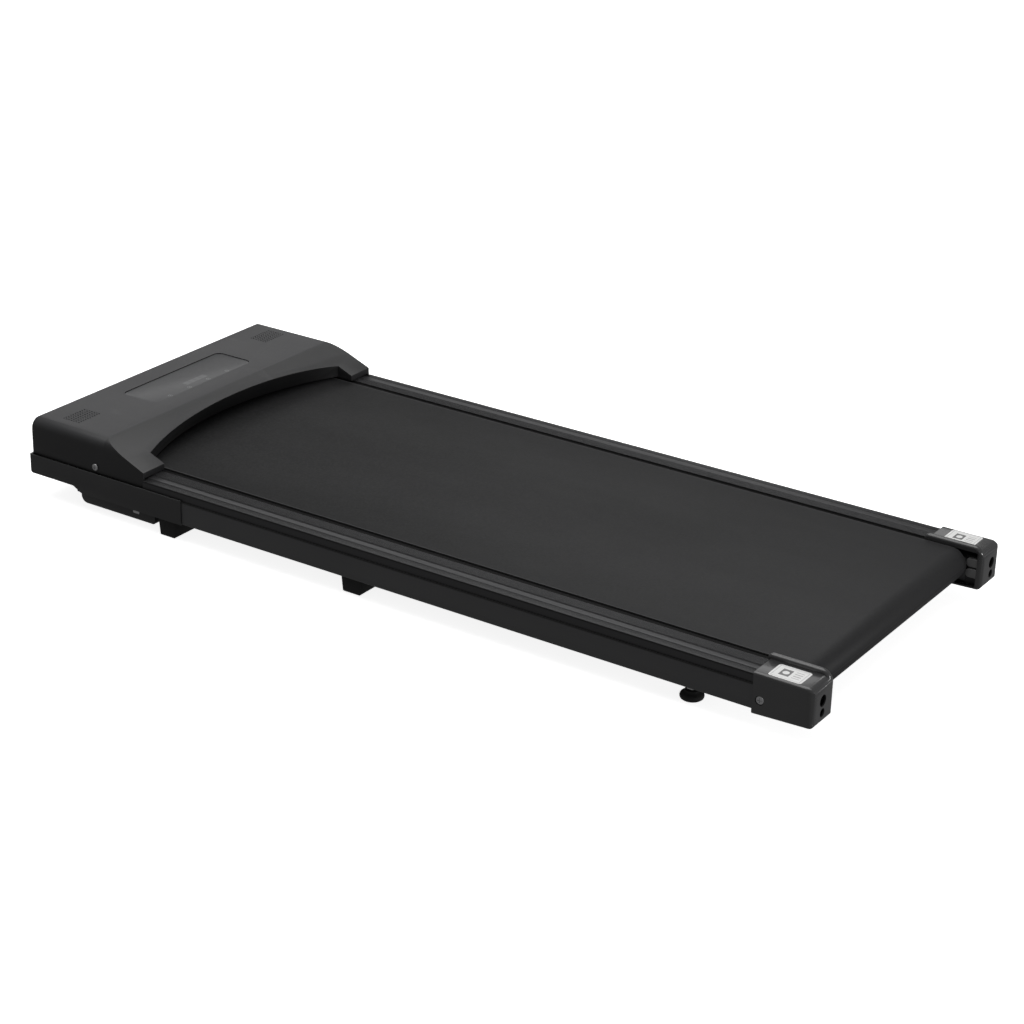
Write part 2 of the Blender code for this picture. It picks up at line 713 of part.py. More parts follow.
def belts():
    front, rear = (FRONT_AXLE_X, AXLE_Z), (REAR_AXLE_X, AXLE_Z)
    outer = loop_path(front, BELT_OUTER_R, rear, BELT_OUTER_R, 20)
    inner = loop_path(front, BELT_INNER_R, rear, BELT_INNER_R, 20)
    band("running_belt", outer, inner, -BELT_HALF_WIDTH, BELT_HALF_WIDTH, "belt_rubber")
    motor = (MOTOR_X, MOTOR_Z)
    paths = []
    for grow in (GAP + DRIVE_BELT_THICK, GAP):
        paths.append(loop_path(motor, MOTOR_PULLEY_R + grow, front, PULLEY_R + grow, 20))
    band("drive_belt", *paths, DRIVE_Y[0] + 0.0004, DRIVE_Y[1] - 0.0004, "foot_rubber")


def motor():
    at = (MOTOR_X, 0.0, MOTOR_Z)
    low, high = MOTOR_Y
    bore, neck, end_r = MOTOR_SHAFT_R + 0.0008, MOTOR_R * 0.72, MOTOR_R - 0.002
    case = [
        (bore, low), (neck, low), (end_r, low + 0.004), (end_r, low + 0.016), (MOTOR_R, low + 0.018),
        (MOTOR_R, high - 0.018), (end_r, high - 0.016), (end_r, high - 0.004), (neck, high), (bore, high),
    ]
    turned("motor_housing", case, "y", at, "motor_steel", 28)
    shaft_r, flywheel_r = MOTOR_SHAFT_R, 0.024
    fly_low, fly_high = low - 0.018, low - 0.004
    shaft_low, shaft_high = fly_low - 0.002, DRIVE_Y[1] + 0.002
    rotor = [
        (0, shaft_low), (shaft_r, shaft_low), (shaft_r, fly_low), (flywheel_r, fly_low),
        (flywheel_r, fly_high), (shaft_r, fly_high), (shaft_r, DRIVE_Y[0]), (MOTOR_PULLEY_R, DRIVE_Y[0]),
        (MOTOR_PULLEY_R, DRIVE_Y[1]), (shaft_r, DRIVE_Y[1]), (shaft_r, shaft_high), (0, shaft_high),
    ]
    turned("motor_rotor", rotor, "y", at, "bright_steel", 20)


def motor_bracket():
    """A plate between the side plates, with the saddle that the motor lies in."""
    reach = 0.2474
    plate = block(
        "motor_bracket", (PLATE_X[0], -reach, PLATE_Z[0]), (PLATE_X[1], reach, PLATE_Z[1]), "frame_paint"
    )
    seat_r, top, half, steps = MOTOR_R + 0.0005, 0.050, 0.025, 10
    open_angle = math.acos((MOTOR_Z - top) / seat_r)
    arc = []
    for i in range(steps + 1):
        angle = open_angle * (1 - 2 * i / steps)
        arc.append((MOTOR_X + seat_r * math.sin(angle), MOTOR_Z - seat_r * math.cos(angle)))
    foot = PLATE_Z[1] - 0.0006
    front, rear = MOTOR_X - half, MOTOR_X + half
    outline = [(front, foot), (rear, foot), (rear, top), *arc, (front, top)]
    join(plate, prism("motor_saddle", outline, "y", 0.005, 0.060))
    cut(plate, block("plate_drive_way", (-0.550, 0.2040, 0.03), (PLATE_X[1] + 0.001, 0.2190, 0.05)))


def controller():
    low, top = 0.0425, 0.0441
    board = block("controller_board", (-0.588, -0.225, low), (-0.533, -0.075, top), "board_green")
    half, foot = 0.003, PLATE_Z[1] + GAP
    for i, (x, y) in enumerate(((-0.575, -0.218), (-0.540, -0.218), (-0.575, -0.082), (-0.540, -0.082))):
        join(board, block(f"standoff_{i}", (x - half, y - half, foot), (x + half, y + half, low + 0.0005)))
    for i, y in enumerate((-0.210, -0.182)):
        can = turned(f"capacitor_{i}", disc_profile(0.011, -0.001, 0.030), "z", (-0.562, y, top), steps=20)
        join(board, can)
    for i, y in enumerate((-0.098, -0.084)):
        join(board, block(f"relay_{i}", (-0.584, y - 0.006, low + 0.001), (-0.566, y + 0.005, 0.0590)))
    fins, pitch, foot, top = 8, 0.0058, 0.0480, 0.0700
    start = -0.583
    outline = [(start, foot), (start + (fins - 1) * pitch + 0.0018, foot)]
    for i in reversed(range(fins)):
        x = start + i * pitch
        outline += [(x + 0.0018, top), (x, top)]
        if i:
            outline += [(x, foot + 0.003), (x - pitch + 0.0018, foot + 0.003)]
    prism("controller_heatsink", outline, "y", -0.165, -0.110, "heatsink_aluminium")


# ---- tail end ----


def end_cap(name, side):
    side_view = rounded(
        [
            (CAP_FRONT_X, CAP_BOTTOM_Z, 0.003),
            (CAP_REAR_X, CAP_HEEL_Z, 0.006),
            (CAP_REAR_X, CAP_TOP_Z, 0.011),
            (CAP_FRONT_X, CAP_TOP_Z, 0.002),
        ],
        5,
    )
    plan = rounded(
        [
            (CAP_FRONT_X - 0.001, side * CAP_INNER_Y, 0),
            (CAP_REAR_X, side * CAP_INNER_Y, 0.006),
            (CAP_REAR_X, side * CAP_OUTER_Y, 0.0035),
            (CAP_FRONT_X - 0.001, side * CAP_OUTER_Y, 0.001),
        ],
        4,
    )
    across = mirrored(
        side,
        rounded(
            [
                (CAP_INNER_Y - 0.001, CAP_BOTTOM_Z, 0),
                (CAP_OUTER_Y, CAP_BOTTOM_Z, 0.004),
                (CAP_OUTER_Y, CAP_TOP_Z, 0.004),
                (CAP_INNER_Y - 0.001, CAP_TOP_Z, 0),
            ],
            4,
        ),
    )
    cap = prism(f"end_cap_{name}", side_view, "y", *span(side, CAP_INNER_Y, CAP_OUTER_Y), "cover_plastic")
    use_tool(
        cap, "INTERSECT",
        prism(f"cap_plan_{name}", plan, "z", 0.0, 0.1),
        prism(f"cap_across_{name}", across, "x", 0.5, 0.62),
    )
    ridge_side = rounded(
        [
            (CAP_RIDGE_X[0], 0.0713, 0),
            (CAP_RIDGE_X[0], CAP_RIDGE_TOP_Z, 0.0065),
            (CAP_RIDGE_X[1], CAP_RIDGE_TOP_Z, 0.013),
            (CAP_RIDGE_X[1], 0.0640, 0),
            (0.590, 0.0713, 0),
        ],
        5,
    )
    ridge_foot, ridge_edge_r = 0.060, 0.0042
    ridge_across = mirrored(
        side,
        rounded(
            [
                (CAP_INNER_Y, ridge_foot, 0),
                (CAP_INNER_Y, CAP_RIDGE_TOP_Z, ridge_edge_r),
                (CAP_RIDGE_OUTER_Y, CAP_RIDGE_TOP_Z, ridge_edge_r),
                (CAP_RIDGE_OUTER_Y, ridge_foot, 0),
            ],
            4,
        ),
    )
    ridge = prism(f"cap_ridge_{name}", ridge_side, "y", *span(side, CAP_INNER_Y, CAP_RIDGE_OUTER_Y))
    use_tool(ridge, "INTERSECT", prism(f"cap_ridge_across_{name}", ridge_across, "x", 0.5, 0.62))
    join(cap, ridge)
    inner_x, inner_y = (CAP_FRONT_X + CAP_WALL, CAP_REAR_X - CAP_WALL), RAIL_OUTER_Y + 0.0004
    hollow_side = rounded(
        [
            (inner_x[0], CAP_BOTTOM_Z + CAP_WALL, 0),
            (inner_x[1], CAP_HEEL_Z + CAP_WALL, 0.004),
            (inner_x[1], CAP_TOP_Z - CAP_WALL, 0.009),
            (inner_x[0], CAP_TOP_Z - CAP_WALL, 0),
        ],
        5,
    )
    hollow_plan = rounded(
        [
            (inner_x[0] - 0.001, side * (CAP_INNER_Y - 0.003), 0),
            (inner_x[1] - 0.006, side * (CAP_INNER_Y - 0.003), 0),
            (inner_x[1] - 0.006, side * (CAP_INNER_Y + 0.0005), 0),
            (inner_x[1] + 0.0001, side * (CAP_INNER_Y + 0.0055), 0.003),
            (inner_x[1] + 0.0001, side * inner_y, 0.0015),
            (inner_x[0] - 0.001, side * inner_y, 0),
        ],
        4,
    )
    hollow = prism(f"cap_hollow_{name}", hollow_side, "y", *span(side, CAP_INNER_Y - 0.002, inner_y))
    use_tool(hollow, "INTERSECT", prism(f"cap_hollow_plan_{name}", hollow_plan, "z", 0.0, 0.1))
    low, high = span(side, RAIL_INNER_Y - 0.0004, inner_y)
    rail_way = block(
        f"cap_rail_way_{name}",
        (CAP_FRONT_X - 0.004, low, RAIL_BOTTOM_Z - 0.0004), (CAP_FRONT_X + 0.004, high, RAIL_TOP_Z + 0.0004),
    )
    key_hole = turned(
        f"cap_key_hole_{name}", disc_profile(0.0075, -0.006, 0.004), "x",
        (CAP_REAR_X, side * BOLT_Y, 0.0505), steps=28,
    )
    lower_hole = turned(
        f"cap_lower_hole_{name}", disc_profile(0.0055, -0.006, 0.004), "x",
        (CAP_REAR_X, side * BOLT_Y, 0.0350), steps=24,
    )
    drain_outline = rectangle((0.566, 0.578), span(side, 0.2225, 0.2275), 0.0024, 4)
    drain = prism(f"cap_drain_{name}", drain_outline, "z", 0.015, 0.0245)
    screw_hole = turned(
        f"cap_screw_hole_{name}", disc_profile(0.0059, -0.003, 0.003), "y",
        (CAP_SCREW[0], side * CAP_OUTER_Y, CAP_SCREW[1]), steps=24,
    )
    cut(cap, hollow, rail_way, key_hole, lower_hole, drain, screw_hole)


def tension_bolt(name, side):
    """A socket-head bolt that draws the rear axle back against the rail's end plate."""
    head, head_r, tip = 0.0070, 0.0052, -0.047
    start = RAIL_REAR_X + GAP
    profile = [
        (0, tip), (BOLT_R - 0.0006, tip), (BOLT_R, tip + 0.0008), (BOLT_R, 0), (head_r, 0),
        (head_r, head - 0.0006), (head_r - 0.0006, head), (0, head),
    ]
    bolt = turned(f"tension_bolt_{name}", profile, "x", (start, side * BOLT_Y, AXLE_Z), "bright_steel", 24)
    socket = turned(
        f"bolt_socket_{name}", disc_profile(0.0030, head - 0.0035, head + 0.002), "x",
        (start, side * BOLT_Y, AXLE_Z), steps=6,
    )
    cut(bolt, socket)


def screw_profile(head_r, head, reach, shank_r=0.0022):
    """A domed screw as (radius, distance outwards from the face it clamps)."""
    return [
        (0, -reach), (shank_r, -reach), (shank_r, 0), (head_r, 0), (head_r, head * 0.45),
        (head_r * 0.82, head * 0.82), (head_r * 0.45, head), (0, head),
    ]


def side_screw(name, side, place, face_y, head_r, head, reach):
    profile = [(radius, side * along) for radius, along in screw_profile(head_r, head, reach)]
    turned(name, profile, "y", (place[0], side * face_y, place[1]), "bright_steel", 20)


# ---- feet and wheels ----


def foot_block(name, x, far_y, near_y, side):
    """A moulded rubber block under the frame rail, drawn in a little towards the floor."""
    top, taper = RAIL_BOTTOM_Z - GAP, 0.003
    front, rear, edge_r = x[0], x[1], 0.002
    outline = rounded(
        [(front + taper, FLOOR_Z, edge_r), (rear - 0.001, FLOOR_Z, edge_r), (rear, top, 0), (front, top, 0)],
        3,
    )
    prism(name, outline, "y", *span(side, near_y, far_y), "foot_rubber")


def levelling_foot(name, side):
    at = (LEVELLER_X, side * LEVELLER_Y, FLOOR_Z)
    socket_r, socket_foot = STUD_R + GAP, 0.0030
    pad = [
        (0, 0), (0.0125, 0), (0.0140, 0.0012), (0.0150, 0.0038), (0.0148, 0.0058), (0.0125, 0.0082),
        (0.0098, 0.0098), (0.0090, 0.0125), (socket_r, 0.0125), (socket_r, socket_foot), (0, socket_foot),
    ]
    turned(f"levelling_pad_{name}", pad, "z", at, "foot_rubber", 24)
    foot = socket_foot + GAP
    stud = [(0, foot), (STUD_R, foot), (STUD_R, 0.0490), (STUD_R - 0.0008, 0.0500), (0, 0.0500)]
    turned(f"levelling_stud_{name}", stud, "z", at, "bright_steel", 20)
    nut = turned(f"foot_locknut_{name}", disc_profile(0.0075, 0.0142, 0.0196), "z", at, "bright_steel", 6)
    cut(nut, turned(f"nut_bore_{name}", disc_profile(STUD_R + 0.0004, 0.010, 0.025), "z", at, steps=20))


def transport_wheel(name, side):
    at = (WHEEL_X, side * WHEEL_Y, WHEEL_Z)
    half, pin_r = WHEEL_HALF_WIDTH, 0.0025
    bore, chamfer = pin_r + 0.0006, 0.001
    wheel = [
        (bore, -half), (WHEEL_R - chamfer, -half), (WHEEL_R, -half + chamfer),
        (WHEEL_R, half - chamfer), (WHEEL_R - chamfer, half), (bore, half),
    ]
    turned(f"transport_wheel_{name}", wheel, "y", at, "foot_rubber", 24)
    ear, top, inside = 0.0016, TRAY_FLOOR_Z - GAP, half + 0.0010
    reach, foot = inside + ear, WHEEL_Z - 0.0060
    outline = [
        (at[1] - reach, top), (at[1] - reach, foot), (at[1] - inside, foot), (at[1] - inside, top - ear),
        (at[1] + inside, top - ear), (at[1] + inside, foot), (at[1] + reach, foot), (at[1] + reach, top),
    ]
    bracket = prism(f"wheel_bracket_{name}", outline, "x", WHEEL_X - 0.010, WHEEL_X + 0.010, "frame_paint")
    pin = turned(f"wheel_pin_{name}", disc_profile(pin_r, -reach - 0.001, reach + 0.001), "y", at, steps=20)
    join(bracket, pin)


# ---- electrical row on the front wall ----


def power_inlet():
    """The appliance inlet that a mains lead plugs into, with its three blades."""
    half_y, half_z, mouth = 0.0136, 0.0100, TRAY_FRONT_X
    body = block(
        "power_inlet", (mouth, INLET_Y - half_y, SOCKET_Z - half_z),
        (mouth + 0.019, INLET_Y + half_y, SOCKET_Z + half_z), "socket_black",
    )
    outline = rounded(
        [
            (INLET_Y - 0.0120, SOCKET_Z - 0.0080, 0.001),
            (INLET_Y + 0.0120, SOCKET_Z - 0.0080, 0.001),
            (INLET_Y + 0.0120, SOCKET_Z + 0.0035, 0.001),
            (INLET_Y + 0.0075, SOCKET_Z + 0.0080, 0.001),
            (INLET_Y - 0.0075, SOCKET_Z + 0.0080, 0.001),
            (INLET_Y - 0.0120, SOCKET_Z + 0.0035, 0.001),
        ],
        2,
    )
    cut(body, prism("inlet_cavity", outline, "x", mouth - 0.002, mouth + 0.016))
    for i, (dy, dz) in enumerate(((-0.007, -0.0025), (0.0, 0.0025), (0.007, -0.0025))):
        y, z = INLET_Y + dy, SOCKET_Z + dz
        low, high = (mouth + 0.0065, y - 0.001, z - 0.002), (mouth + 0.0168, y + 0.001, z + 0.002)
        join(body, block(f"blade_{i}", low, high))


def power_switch():
    """A rocker in its housing, resting with its left end pressed in."""
    half_y, half_z = 0.0112, 0.0080
    housing = block(
        "switch_housing", (TRAY_FRONT_X + 0.0003, SWITCH_Y - half_y, SOCKET_Z - half_z),
        (TRAY_FRONT_X + 0.020, SWITCH_Y + half_y, SOCKET_Z + half_z), "socket_black",
    )
    well = block(
        "switch_well", (TRAY_FRONT_X - 0.003, SWITCH_Y - 0.0098, SOCKET_Z - 0.0066),
        (TRAY_FRONT_X + 0.012, SWITCH_Y + 0.0098, SOCKET_Z + 0.0066),
    )
    cut(housing, well)
    shape = [
        (-0.0020, -0.0088), (-0.0006, 0.0), (-0.0020, 0.0088),
        (0.0035, 0.0080), (0.0058, 0.0), (0.0035, -0.0080),
    ]
    tilt = Matrix.Rotation(SWITCH_TILT, 2)
    outline = []
    for point in shape:
        x, y = tilt @ Vector(point)
        outline.append((SWITCH_PIVOT_X + x, SWITCH_Y + y))
    pivot = (SWITCH_PIVOT_X, SWITCH_Y, SOCKET_Z)
    prism("power_switch", outline, "z", SOCKET_Z - 0.0062, SOCKET_Z + 0.0062, "socket_black", pivot)


def breaker():
    """The thermal cut-out: its button lies flush and springs out when it trips."""
    at = (TRAY_FRONT_X, BREAKER_Y, SOCKET_Z)
    body = [(0, 0.018), (0.0066, 0.018), (0.0066, 0.0003), (0.0044, 0.0003), (0.0044, 0.0125), (0, 0.0125)]
    turned("breaker_body", body, "x", at, "socket_black", 24)
    button = [(0, 0.0120), (0.0040, 0.0120), (0.0040, 0.0008), (0.0034, 0.0002), (0, 0.0002)]
    turned("breaker_button", button, "x", at, "reset_red", 24)


def build():
    clear_scene()
    for name, side in SIDES:
        frame_rail(name, side)
        side_plate(name, side)
        foot_rail(name, side)
        speaker(name, side)
        end_cap(name, side)
        tension_bolt(name, side)
        side_screw(f"hood_screw_{name}", side, HOOD_SCREW, 0.2500, 0.0050, 0.0022, 0.011)
        side_screw(f"cap_screw_{name}", side, CAP_SCREW, RAIL_OUTER_Y + GAP, 0.0055, 0.0016, 0.009)
        foot_block(f"front_foot_{name}", FRONT_FOOT_X, 0.248, 0.2065, side)
        foot_block(f"middle_foot_{name}", MIDDLE_FOOT_X, 0.2405, 0.2065, side)
        levelling_foot(name, side)
        transport_wheel(name, side)
    for name, x in CROSS_X:
        cross_member(name, x)
    deck_board()
    hood_shell()
    display_panel()
    base_tray()
    belly_pan()
    rollers()
    drive_pulley()
    belts()
    motor()
    motor_bracket()
    controller()
    power_inlet()
    power_switch()
    breaker()
    machine = bpy.data.objects.new("machine", None)
    machine.location = DATUM_AT
    bpy.context.scene.collection.objects.link(machine)
    for obj in bpy.data.objects:
        if obj != machine:
            obj.parent = machine


build()
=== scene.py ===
import json
import math

import bmesh
import bpy
from mathutils import Matrix, Vector

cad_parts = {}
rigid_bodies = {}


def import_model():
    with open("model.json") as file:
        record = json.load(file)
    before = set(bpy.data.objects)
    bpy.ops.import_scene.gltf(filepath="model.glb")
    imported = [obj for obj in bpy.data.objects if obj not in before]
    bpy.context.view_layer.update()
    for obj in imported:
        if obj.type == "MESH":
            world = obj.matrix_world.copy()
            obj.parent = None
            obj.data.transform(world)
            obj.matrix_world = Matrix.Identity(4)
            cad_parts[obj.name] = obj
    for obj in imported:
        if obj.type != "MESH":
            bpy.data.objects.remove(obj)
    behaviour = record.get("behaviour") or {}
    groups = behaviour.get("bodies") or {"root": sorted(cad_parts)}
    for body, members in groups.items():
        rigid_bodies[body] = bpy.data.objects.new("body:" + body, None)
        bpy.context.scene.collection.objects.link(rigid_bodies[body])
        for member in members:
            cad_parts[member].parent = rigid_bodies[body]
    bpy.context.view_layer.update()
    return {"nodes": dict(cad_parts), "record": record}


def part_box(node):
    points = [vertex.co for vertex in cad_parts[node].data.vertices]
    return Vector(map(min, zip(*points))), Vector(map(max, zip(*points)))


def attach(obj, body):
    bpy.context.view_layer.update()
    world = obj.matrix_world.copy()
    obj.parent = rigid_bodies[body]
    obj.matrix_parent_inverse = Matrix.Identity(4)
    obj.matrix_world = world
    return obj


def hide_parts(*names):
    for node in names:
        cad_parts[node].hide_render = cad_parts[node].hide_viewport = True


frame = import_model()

# Under-desk walking pad. Metres, Z up, the tail at +X and the motor hood at -X.
hoodLow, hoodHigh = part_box("hood_shell")
datum = Vector((hoodLow.x + 0.606, 0, hoodHigh.z - 0.1093))  # the point the new pieces are drawn from
sides = {"Left": -1, "Right": 1}  # left is -Y, the side nearer the camera
print("frame loaded:", len(frame["nodes"]), "nodes")


# working with the mesh tools

def deselectAll():
    if bpy.context.object and bpy.context.object.mode != "OBJECT":
        bpy.ops.object.mode_set(mode="OBJECT")
    bpy.ops.object.select_all(action="DESELECT")


def takeUp(*objs):
    deselectAll()
    for obj in objs:
        obj.select_set(True)
    bpy.context.view_layer.objects.active = objs[0]


def openMesh(obj):
    takeUp(obj)
    bpy.ops.object.mode_set(mode="EDIT")


def closeMesh():
    bpy.ops.object.mode_set(mode="OBJECT")


def settle(name):
    # the new primitive gets its name, and its place goes into its mesh
    obj = bpy.context.object
    obj.name = name
    obj.data.name = name
    bpy.ops.object.transform_apply(location=True, rotation=True, scale=True)
    return obj


def addBox(name, low, high):
    deselectAll()
    centre = [(a + b) / 2 for a, b in zip(low, high)]
    size = [b - a for a, b in zip(low, high)]
    bpy.ops.mesh.primitive_cube_add(size=1, location=centre, scale=size)
    return settle(name)


def addRod(name, axis, centre, radius, length, vertices=48):
    deselectAll()
    turn = {"x": (0, math.pi / 2, 0), "y": (math.pi / 2, 0, 0), "z": (0, 0, 0)}[axis]
    bpy.ops.mesh.primitive_cylinder_add(
        vertices=vertices, radius=radius, depth=length, location=centre, rotation=turn)
    return settle(name)


def pick(kind, test):
    # selects the vertices, edges or faces that the test is true for
    bpy.ops.mesh.select_mode(type=kind)
    bpy.ops.mesh.select_all(action="DESELECT")
    mesh = bmesh.from_edit_mesh(bpy.context.object.data)
    for item in {"VERT": mesh.verts, "EDGE": mesh.edges, "FACE": mesh.faces}[kind]:
        if test(item):
            item.select_set(True)
    mesh.select_flush_mode()
    bmesh.update_edit_mesh(bpy.context.object.data)


def middle(item):
    return sum((v.co for v in item.verts), Vector()) / len(item.verts)


def near(value, target, slack=0.00002):
    return abs(value - target) < slack


def runsAlong(edge, axis):
    line = edge.verts[1].co - edge.verts[0].co
    return line.length > 1e-6 and abs(line[axis]) > 0.999 * line.length


def onPlane(item, axis, level):
    return all(near(v.co[axis], level) for v in item.verts)


def roundEdges(test, width, segments):
    pick("EDGE", test)
    bpy.ops.mesh.bevel(offset=width, offset_type="OFFSET", segments=segments, profile=0.5, affect="EDGES")


def applyAll(obj):
    takeUp(obj)
    for modifier in list(obj.modifiers):
        bpy.ops.object.modifier_apply(modifier=modifier.name)


def carve(obj, *tools, operation="DIFFERENCE"):
    for tool in tools:
        boolean = obj.modifiers.new("carve", "BOOLEAN")
        boolean.operation = operation
        boolean.object = tool
        boolean.solver = "EXACT"
        applyAll(obj)
        bpy.data.objects.remove(tool, do_unlink=True)
    return obj


def easeEdges(obj, width, segments=2, angle=38):
    # a small round on every sharp edge, so that it catches the light
    bevel = obj.modifiers.new("ease", "BEVEL")
    bevel.width = width
    bevel.segments = segments
    bevel.limit_method = "ANGLE"
    bevel.angle_limit = math.radians(angle)
    bevel.use_clamp_overlap = True
    bevel.harden_normals = False
    applyAll(obj)
    return obj


def smooth(obj, angle=34):
    takeUp(obj)
    bpy.ops.object.shade_smooth_by_angle(angle=math.radians(angle))
    return obj


def faceOut(obj):
    openMesh(obj)
    bpy.ops.mesh.select_all(action="SELECT")
    bpy.ops.mesh.remove_doubles(threshold=0.000002)
    bpy.ops.mesh.normals_make_consistent(inside=False)
    closeMesh()
    return obj


def joinPieces(name, *objs):
    takeUp(*objs)
    bpy.ops.object.join()
    obj = bpy.context.object
    obj.name = name
    obj.data.name = name
    return obj


def copyShifted(obj, name, shift):
    takeUp(obj)
    bpy.ops.object.duplicate(linked=False)
    twin = bpy.context.object
    twin.name = name
    twin.data.name = name
    openMesh(twin)
    bpy.ops.mesh.select_all(action="SELECT")
    bpy.ops.transform.translate(value=shift)
    closeMesh()
    return twin


def mirrorCopy(obj, name):
    # the same piece for the far side, turned face out again
    twin = copyShifted(obj, name, (0, 0, 0))
    openMesh(twin)
    bpy.ops.mesh.select_all(action="SELECT")
    bpy.ops.transform.resize(value=(1, -1, 1), center_override=(0, 0, 0))
    bpy.ops.mesh.flip_normals()
    closeMesh()
    return twin


def turnUp(name, axis, centre, rings, vertices=48):
    # drawn up ring by ring along the axis, as (radius, how far along)
    deselectAll()
    radius, along = rings[0]
    bpy.ops.mesh.primitive_circle_add(
        vertices=vertices, radius=radius, fill_type="NGON", location=(0, 0, along))
    obj = settle(name)
    openMesh(obj)
    bpy.ops.mesh.select_mode(type="FACE")
    bpy.ops.mesh.select_all(action="SELECT")
    for nextRadius, nextAlong in rings[1:]:
        bpy.ops.mesh.extrude_region_move(TRANSFORM_OT_translate={"value": (0, 0, nextAlong - along)})
        grow = nextRadius / radius
        bpy.ops.transform.resize(value=(grow, grow, 1), center_override=(0, 0, nextAlong))
        radius, along = nextRadius, nextAlong
    closeMesh()
    turn = {"x": (0, math.pi / 2, 0), "-x": (0, -math.pi / 2, 0), "y": (-math.pi / 2, 0, 0),
            "-y": (math.pi / 2, 0, 0), "z": (0, 0, 0)}[axis]
    obj.rotation_euler = turn
    obj.location = centre
    takeUp(obj)
    bpy.ops.object.transform_apply(location=True, rotation=True, scale=True)
    return faceOut(obj)


def refined(node, name, ease=0.0003, angle=30, body="chassis"):
    # a merged copy of a CAD node with its edges eased and its curves smooth
    source = frame["nodes"][node]
    takeUp(source)
    bpy.ops.object.duplicate(linked=False)
    piece = bpy.context.object
    piece.name = name
    piece.data.name = name
    bpy.ops.object.parent_clear(type="CLEAR_KEEP_TRANSFORM")
    openMesh(piece)
    bpy.ops.mesh.select_all(action="SELECT")
    bpy.ops.mesh.remove_doubles(threshold=0.000005)
    bpy.ops.mesh.dissolve_limited(angle_limit=math.radians(0.6), use_dissolve_boundaries=False)
    closeMesh()
    bpy.ops.object.transform_apply(location=True, rotation=True, scale=True)
    if ease:
        easeEdges(piece, ease)
    smooth(piece, angle)
    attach(piece, body)
    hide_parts(node)
    return piece


# materials

# wraps a socket, so that an expression on values adds its Math nodes
class Value:
    def __init__(self, look, socket):
        self.look = look
        self.socket = socket

    def maths(self, operation, first, second):
        return self.look.node("Math", {"operation": operation}, {0: first, 1: second})

    def __add__(self, other): return self.maths("ADD", self, other)
    def __radd__(self, other): return self.maths("ADD", other, self)
    def __sub__(self, other): return self.maths("SUBTRACT", self, other)
    def __rsub__(self, other): return self.maths("SUBTRACT", other, self)
    def __mul__(self, other): return self.maths("MULTIPLY", self, other)
    def __rmul__(self, other): return self.maths("MULTIPLY", other, self)
    def __truediv__(self, other): return self.maths("DIVIDE", self, other)
    def __rtruediv__(self, other): return self.maths("DIVIDE", other, self)
    def __pow__(self, other): return self.maths("POWER", self, other)
    def __lt__(self, other): return self.maths("LESS_THAN", self, other)
    def __gt__(self, other): return self.maths("GREATER_THAN", self, other)
    def __mod__(self, other): return self.maths("PINGPONG", self, other)
    def __abs__(self): return self.maths("ABSOLUTE", self, 0.0)


# a material on Object coordinates, with its one Principled shader
class Look:
    def __init__(self, name, **fixed):
        self.material = bpy.data.materials.new(name)
        self.material.use_nodes = True
        self.tree = self.material.node_tree
        self.shader = self.tree.nodes["Principled BSDF"]
        for socket, value in fixed.items():
            self.shader.inputs[socket.replace("_", " ")].default_value = value
        self.place = self.node("TexCoord", out="Object")
        self.x, self.y, self.z = [self.node("SeparateXYZ", {}, {0: self.place}, out=axis) for axis in "XYZ"]

    def node(self, kind, settings=None, sockets=None, out=0):
        made = self.tree.nodes.new("ShaderNode" + kind)
        for name, value in (settings or {}).items():
            if name == "stops":
                ramp = made.color_ramp.elements
                while len(ramp) < len(value):
                    ramp.new(0.5)
                for stop, (position, colour) in zip(ramp, value):
                    stop.position = position
                    stop.color = (*colour, 1)
            else:
                setattr(made, name, value)
        for key, value in (sockets or {}).items():
            if isinstance(value, Value):
                self.tree.links.new(value.socket, made.inputs[key])
            else:
                made.inputs[key].default_value = value
        return Value(self, made.outputs[out])

    def feed(self, **sockets):
        for name, value in sockets.items():
            self.tree.links.new(value.socket, self.shader.inputs[name.replace("_", " ")])

    def mix(self, factor, first, second):
        first = (*first, 1) if isinstance(first, tuple) else first
        second = (*second, 1) if isinstance(second, tuple) else second
        return self.node("Mix", {"data_type": "RGBA"}, {0: factor, 6: first, 7: second}, out=2)

    def stretched(self, scale):
        return self.node("Mapping", {}, {"Vector": self.place, "Scale": scale})

    def noise(self, scale, detail=3.0, roughness=0.55, place=None):
        sockets = {"Vector": place or self.place, "Scale": scale, "Detail": detail, "Roughness": roughness}
        return self.node("TexNoise", {}, sockets)

    def between(self, value, low, high, start=0.0, end=1.0):
        return self.node("MapRange", {"clamp": True}, {0: value, 1: low, 2: high, 3: start, 4: end})

    def bump(self, height, distance, strength=0.5):
        return self.node("Bump", {}, {"Height": height, "Distance": distance, "Strength": strength})


